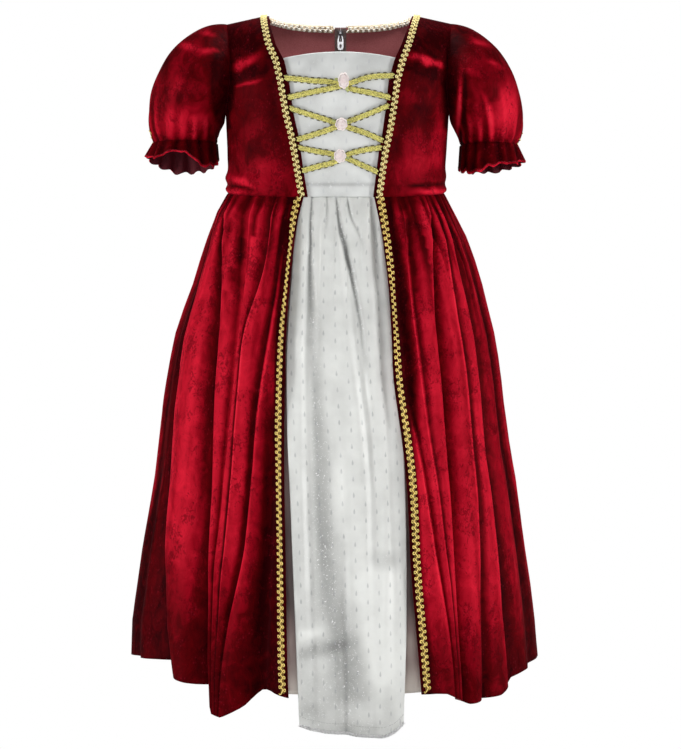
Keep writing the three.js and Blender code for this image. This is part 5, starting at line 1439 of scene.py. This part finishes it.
# %% [markdown]
# ### Braid over the back neckline
# At the back the braid folds over the top edge and shows on both sides. A flat strip could be bent over with a
# modifier. A band of seven lines across the edge is simpler, with scrolls along its outer and inner side.

# %% Braid folded over the back neckline
def back_neck_braid(side):
    _, p = back_grid(side, 60, 64)
    n = grid_normals(p, p - TORSO_CORE)
    keep = np.where((np.abs(p[0, :, 0]) > 6.9) & (np.abs(p[0, :, 0]) < 78.4))[0]
    down = unit(p[3] - p[0])
    top, out, down = p[0][keep], n[0][keep], down[keep]
    name = "neck_back_braid_" + SIDE[side]
    node = "braid_neck_back_" + SIDE[side]
    lines = []
    for offset, drop_by in ((0.4, 5.6), (0.9, 2.0), (0.6, -1.2), (-0.8, -1.7), (-2.2, -1.2), (-2.5, 2.0),
                            (-2.1, 5.6)):
        lines.append(top + out * offset + down * drop_by)
    band = np.stack(lines, axis=1)
    outwards = out[:, None] * np.array([1, 1, 1, 0.2, -1, -1, -1])[None, :, None]
    spread = grid_normals(band, outwards - down[:, None] * np.array([0, 0, 1, 1, 1, 0, 0])[None, :, None])
    # the paler copies of the braid's finishes are painted light
    strip = shell(name, band, spread, 0.0001, back_neck_backing_painted_light, back_neck_backing_painted_light, lift=0.35)
    pieces = [strip]
    for k, (offset, lift, sign) in enumerate(((0.4, 1.15, 1), (-2.2, 1.05, -1))):
        middle = top + out * (offset + sign * lift) + down * 1.8
        place, along, facing = resample(middle, out * sign, 5.8)
        pieces.append(repeated(name + ("_outer", "_inner")[k], scroll_path(7.0, 2.9, 0.9), 0.62, back_neck_cord_painted_light,
                               place, along, facing))
    for o in pieces:
        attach(o, BODY)
        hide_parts(node)


for side in (LEFT, RIGHT):
    back_neck_braid(side)


# %% [markdown]
# ### Sleeve tabs
# A short length of braid runs over each sleeve's elastic. A strip could be laid on with Shrinkwrap, but columns of
# the sleeve's own grid are its edges here, so that it bends with the puff and the frill.

# %% Short braid tabs on the sleeves
TAB_SPAN = (0.93, 1.33)  # from just above the elastic to a third of the way down the frill
TAB_COLUMNS = 7  # columns of the sleeve's grid on each side of its outer line
for side in (LEFT, RIGHT):
    p, n, along, angle = sleeves[side]
    first, last = [int(np.argmin(np.abs(along[:, 0] - a))) for a in TAB_SPAN]
    left, right, normal = p[first:last, -TAB_COLUMNS], p[first:last, TAB_COLUMNS], n[first:last, 0]
    braid_line("cuff_tab_" + SIDE[side], "braid_cuff_" + SIDE[side], left + normal * 0.2, right + normal * 0.2,
               normal, (gold, gold_back), width=8, cord=0.8, pitch=3.0)


# %% [markdown]
# ## Lacing and roses
# Flat plaited braids cross over the insert. A wound ribbon rose with a small leaf covers each crossing.


# %% Lacing
def lace(cross, strand, points):
    xs, ds = zip(*points)
    path = lambda x: smooth_read(x, xs, ds)
    ends = [[-(braid_middle(LEFT, points[0][1] + e * LACE / 2) - BRAID / 2 - 0.4),
             braid_middle(RIGHT, points[-1][1] + e * LACE / 2) - BRAID / 2 - 0.4] for e in (-1, 1)]
    f = np.linspace(0, 1, 60)
    lines = []
    for k, e in enumerate((-1, 1)):
        x = mix(ends[k][0], ends[k][1], f)
        d = path(x) + e * LACE / 2
        lines.append(np.where((x < 0)[:, None], torso(LEFT, FRONT, d, x), torso(RIGHT, FRONT, d, x)))
    middle = 0.5 * (lines[0] + lines[1])
    normal = unit(np.cross(np.gradient(middle, axis=0), lines[1] - lines[0]))
    normal *= np.sign(np.sum(normal * [0, -1, 0], axis=1))[:, None]
    rise = ease((np.abs(middle[:, 0]) - 28) / 10)
    base = mix(-0.45, 0.55, rise) if strand == "b" else mix(-1.75, 0.55, rise)
    lines = [line + normal * base[:, None] for line in lines]
    middle = 0.5 * (lines[0] + lines[1])
    name = f"lace_{cross}_{strand}"
    strip = backing(name, mix(middle, lines[0], 0.62), mix(middle, lines[1], 0.62), normal, 0.0, 0.4, lace_back)
    pieces = [strip]
    side_way = unit(lines[1] - lines[0])
    for k, reach in enumerate((-1.75, 0.0, 1.75)):
        row = middle + side_way * reach
        place, along, out = resample(row, normal, 1.75)
        slant = unit(along + (0.55 if k % 2 else -0.55) * np.cross(out, along))
        knot = [[0, -1.5, -0.25], [0, -0.8, 0.25], [0, 0.8, 0.25], [0, 1.5, -0.25]]
        pieces.append(repeated(f"{name}_gimp_{k + 1}", knot, 0.62, lace_gold, place + out * 0.5, slant, out))
    # near-black bars along both edges: painted shadow in the gaps of the plait
    for k, line in enumerate(lines):
        edge = mix(middle, line, 0.94)
        place, along, out = resample(edge, normal, 6.9)
        notch = [[0, -1.6, -0.1], [0, -0.8, 0.2], [0, 0.8, 0.2], [0, 1.6, -0.1]]
        pieces.append(repeated(f"{name}_notches_{k + 1}", notch, 0.52, notch_shadow, place + out * 0.35, along, out))
    for o in pieces:
        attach(o, BODY)
        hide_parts(f"lacing_{cross}_{strand}")


for row in LACES:
    lace(*row)


# %% [markdown]
# ### Ribbon roses
# A ribbon rose is a ribbon wound round itself. It could be sculpted, but a strip that follows a spiral has the
# right turns at once. Seven outer petals, a core disc and small folded leaves complete it.

# %% Roses
ROSE_LEAVES = {  # for each rose, its leaves' directions in degrees and how far they reach
    1: [(-70, 13.5), (170, 10)], 2: [(158, 11), (15, 10)], 3: [(195, 10.5), (-15, 11)]}


def rose(index, across, drop, half_width, half_height):
    side = LEFT if across < 0 else RIGHT
    foot = torso(side, FRONT, drop + half_height, abs(across))
    centre = np.array([foot[0], foot[1] - 0.9, -drop])
    points, faces = [], []

    def strip(turn, radius, low, high, lean):
        """A ribbon on edge along a spiral, leaning out, as a thin closed band."""
        start = len(points)
        for a, r, lo, hi, out in zip(turn, radius, low, high, lean):
            for rad, lift in ((r, lo), (r + out, hi), (r + out + 0.45, hi - 0.1), (r + 0.45, lo)):
                points.append([centre[0] + rad * half_width / 7 * math.cos(a), centre[1] - lift,
                               centre[2] + rad * half_height / 7 * math.sin(a)])
        n = len(turn)
        for i in range(n - 1):
            for k in range(4):
                a, b = start + 4 * i + k, start + 4 * i + (k + 1) % 4
                faces.append((a, b, b + 4, a + 4))
        faces.append(tuple(start + k for k in (3, 2, 1, 0)))
        faces.append(tuple(start + 4 * (n - 1) + k for k in range(4)))

    turn = np.linspace(0, 3.1 * 2 * np.pi, 100)
    radius = 0.5 + 3.3 * (turn / turn[-1]) ** 0.9
    strip(turn, radius, 0.6 + 0 * turn, 4.6 - 0.9 * (turn / turn[-1]) + 0.25 * np.sin(turn * 1.7),
          0.25 + 0.5 * turn / turn[-1])
    for k in range(7):
        a0 = k * 2 * np.pi / 7 + 0.3 * index
        turn = np.linspace(a0 - 0.6, a0 + 0.6, 16)
        bulge = np.cos((turn - a0) / 0.6 * np.pi / 2)
        strip(turn, 3.7 + 0.4 * bulge, 0.3 + 0 * turn, 2.9 + 0.6 * bulge, 1.1 + 0.9 * bulge)
    start = len(points)
    for lift in (0.4, 2.4):
        for a in np.linspace(0, 2 * np.pi, 24, endpoint=False):
            points.append([centre[0] + 4.6 * half_width / 7 * math.cos(a), centre[1] - lift,
                           centre[2] + 4.6 * half_height / 7 * math.sin(a)])
    faces += [tuple(start + 24 + k for k in range(24)), tuple(start + 23 - k for k in range(24))]
    faces += [(start + k, start + (k + 1) % 24, start + 24 + (k + 1) % 24, start + 24 + k) for k in range(24)]
    obj = new_mesh(f"ribbon_rose_{index}", points, faces, [pink])
    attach(obj, BODY)
    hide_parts(f"rose_{index}")
    # leaves: small folded ribbon points below and beside the rose
    for k, (angle, reach) in enumerate(ROSE_LEAVES[index]):
        a = math.radians(angle)
        d = np.array([math.cos(a), 0, math.sin(a)])
        w = np.array([-d[2], 0, d[0]])
        leaf = []
        for s in np.linspace(0, 1, 9):
            half = 1.5 * math.sin(math.pi * min(1, s * 0.92 + 0.08)) ** 0.8
            base = centre + d * (4.5 + (reach - 4.5) * s) + np.array([0, -0.9 + 0.5 * s, 0])
            leaf.append([base - w * half, base + np.array([0, -0.5, 0]), base + w * half])
        leaf = np.array(leaf)
        normal = np.tile(np.array([0.0, -1.0, 0.0]), (9, 3, 1))
        piece = shell(f"rose_leaf_{index}_{k + 1}", leaf, normal, 0.3, leaf_green, leaf_green)
        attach(piece, BODY)


for k, row in enumerate(ROSES):
    rose(k + 1, *row)
print("roses made:", len(ROSES))

# %% [markdown]
# ## Zip and stitches
# The tapes, slider and pull tab stay the CAD solids with new finishes. Teeth and stitches are instanced.

# %% Zip
for node, mat in (("zip_tape_left", tape), ("zip_tape_right", tape), ("zip_slider", metal), ("zip_pull", metal)):
    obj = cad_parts[node]
    obj.data.materials.clear()
    obj.data.materials.append(mat)
    obj.data.polygons.foreach_set("use_smooth", np.zeros(len(obj.data.polygons), bool))

drop = np.linspace(24, 186, 90)
line = torso(RIGHT, BACK, drop, 0.0 * drop)
slope = unit(np.gradient(line, axis=0))
inward = unit(np.cross(slope, [1.0, 0, 0]))
inward *= np.sign(np.sum(inward * [0, -1, 0], axis=1))[:, None]
place, along, out = resample(line + inward * (VELVET + GAP + 0.8 + 0.45), inward, 1.25)
tooth = [[-1.5, -0.3, 0], [-0.6, 0, 0.15], [0.6, 0.1, 0.15], [1.5, 0.35, 0]]
teeth = repeated("zip_teeth", tooth, 0.42, metal, place, along, out, finish=tape)
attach(teeth, BODY)


# %% [markdown]
# ### Stitches
# Short raised threads run along the apron's hem and round the frills, and a silver edging closes the apron. They
# could be a bump texture, but instanced bars each have their own shadow. The pitch is measured along the line.

# %% Stitches along the hems, and the apron's edging
def stitches(name, line, normal, pitch, length, lift, mat, radius=0.18):
    place, along, out = resample(line, normal, pitch)
    bar = [[0, -length / 2, -0.1], [0, -length / 4, 0.12], [0, length / 4, 0.12], [0, length / 2, -0.1]]
    obj = repeated(name, bar, radius, mat, place + out * lift, along, out, sides=5)
    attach(obj, BODY)


rows = int(0.983 * (len(apron_points) - 1))
stitches("apron_hem_stitches", apron_points[rows], apron_normals[rows], 3.0, 2.0, 0.1, insert_cloth, 0.16)
silver = braid_material("silver_edging", (0.92, 0.92, 0.92), (0.48, 0.48, 0.49), 0.15, 0.35)
upper = apron_points[-1] + [0, 0, 3.8]
braid_line("apron_hem_edging", None, apron_points[-1] + [0, 0, 0.4], upper, apron_normals[-4], (silver, silver),
           3.8, 0.5, 1.7, 0.05, 0.8)
for side in (LEFT, RIGHT):
    p, n, along, angle = sleeves[side]
    row = int(np.argmin(np.abs(along[:, 0] - 1.93)))
    ring, facing = np.concatenate([p[row], p[row][:1]]), np.concatenate([n[row], n[row][:1]])
    stitches("frill_stitches_" + SIDE[side], ring, facing, 3.2, 2.1, 0.12, thread)

# %% [markdown]
# ## Stage
# A plain pale floor under the hanging dress, a white surround and soft lights, and the photograph's camera.

# %% Floor, lights and camera
floor_mesh = bpy.data.meshes.new("floor")
floor_mesh.from_pydata([(-30, -30, -0.80), (30, -30, -0.80), (30, 30, -0.80), (-30, 30, -0.80)], [], [(0, 1, 2, 3)])
floor = bpy.data.objects.new("floor", floor_mesh)
bpy.context.scene.collection.objects.link(floor)
pale = bpy.data.materials.new("pale_floor")
pale.use_nodes = True
pale.node_tree.nodes.clear()
out = pale.node_tree.nodes.new("ShaderNodeOutputMaterial")
seen = pale.node_tree.nodes.new("ShaderNodeEmission")
seen.inputs["Color"].default_value = (1, 1, 1, 1)
seen.inputs["Strength"].default_value = 1.0
lit = pale.node_tree.nodes.new("ShaderNodeBsdfDiffuse")
lit.inputs["Color"].default_value = (0.6, 0.6, 0.6, 1)
path = pale.node_tree.nodes.new("ShaderNodeLightPath")
pick = pale.node_tree.nodes.new("ShaderNodeMixShader")
pale.node_tree.links.new(path.outputs["Is Camera Ray"], pick.inputs[0])
pale.node_tree.links.new(lit.outputs[0], pick.inputs[1])
pale.node_tree.links.new(seen.outputs[0], pick.inputs[2])
pale.node_tree.links.new(pick.outputs[0], out.inputs[0])
floor_mesh.materials.append(pale)

world = bpy.data.worlds.new("white")
bpy.context.scene.world = world
world.use_nodes = True
nodes, links = world.node_tree.nodes, world.node_tree.links
back = nodes["Background"]
back.inputs["Color"].default_value = (1, 1, 1, 1)
dim = nodes.new("ShaderNodeBackground")
dim.inputs["Color"].default_value = (1, 1, 1, 1)
dim.inputs["Strength"].default_value = 0.11
path = nodes.new("ShaderNodeLightPath")
pick = nodes.new("ShaderNodeMixShader")
links.new(path.outputs["Is Camera Ray"], pick.inputs[0])
links.new(dim.outputs[0], pick.inputs[1])
links.new(back.outputs[0], pick.inputs[2])
links.new(pick.outputs[0], nodes["World Output"].inputs[0])


def softbox(name, place, target, size, power, colour=(1, 1, 1)):
    light = bpy.data.lights.new(name, "AREA")
    light.shape = "RECTANGLE"
    light.size, light.size_y = size
    light.energy = power
    light.color = colour
    obj = bpy.data.objects.new(name, light)
    obj.location = place
    obj.rotation_euler = (Vector(target) - Vector(place)).to_track_quat("-Z", "Y").to_euler()
    obj.visible_camera = False
    bpy.context.scene.collection.objects.link(obj)


softbox("left_box", (-2.1, -0.9, -0.45), (0, 0, -0.45), (0.7, 1.5), 46)
softbox("right_box", (2.1, -0.9, -0.45), (0, 0, -0.45), (0.7, 1.5), 46)
softbox("front_box", (0.0, -2.6, 0.1), (0, 0, -0.4), (1.4, 0.8), 15)
softbox("neck_box", (0.0, -0.02, 0.13), (0, 0.07, -0.03), (0.2, 0.05), 0.55)
softbox("low_box", (0.0, -2.0, -0.77), (0, 0, -0.2), (1.8, 0.5), 8)

SENSOR_MM = 36
PHOTO_HEIGHT_PX, FOCAL_PX = 749, 2182  # the photo is taller than wide, so its height spans the sensor
AIM_HEIGHT, CAMERA_DISTANCE, CAMERA_TILT = -0.389, 2.4, math.radians(8)  # metres, and how far it looks down
camera_data = bpy.data.cameras.new("camera")
camera_data.sensor_width = SENSOR_MM
camera_data.lens = FOCAL_PX / PHOTO_HEIGHT_PX * SENSOR_MM
camera = bpy.data.objects.new("camera", camera_data)
bpy.context.scene.collection.objects.link(camera)
target = Vector((0, 0, AIM_HEIGHT))
camera.location = target + CAMERA_DISTANCE * Vector((0, -math.cos(CAMERA_TILT), math.sin(CAMERA_TILT)))
camera.rotation_euler = (target - camera.location).to_track_quat("-Z", "Y").to_euler()
bpy.context.scene.camera = camera
bpy.context.scene.view_settings.view_transform = "Standard"
print("camera at, m:", [round(v, 3) for v in camera.location])
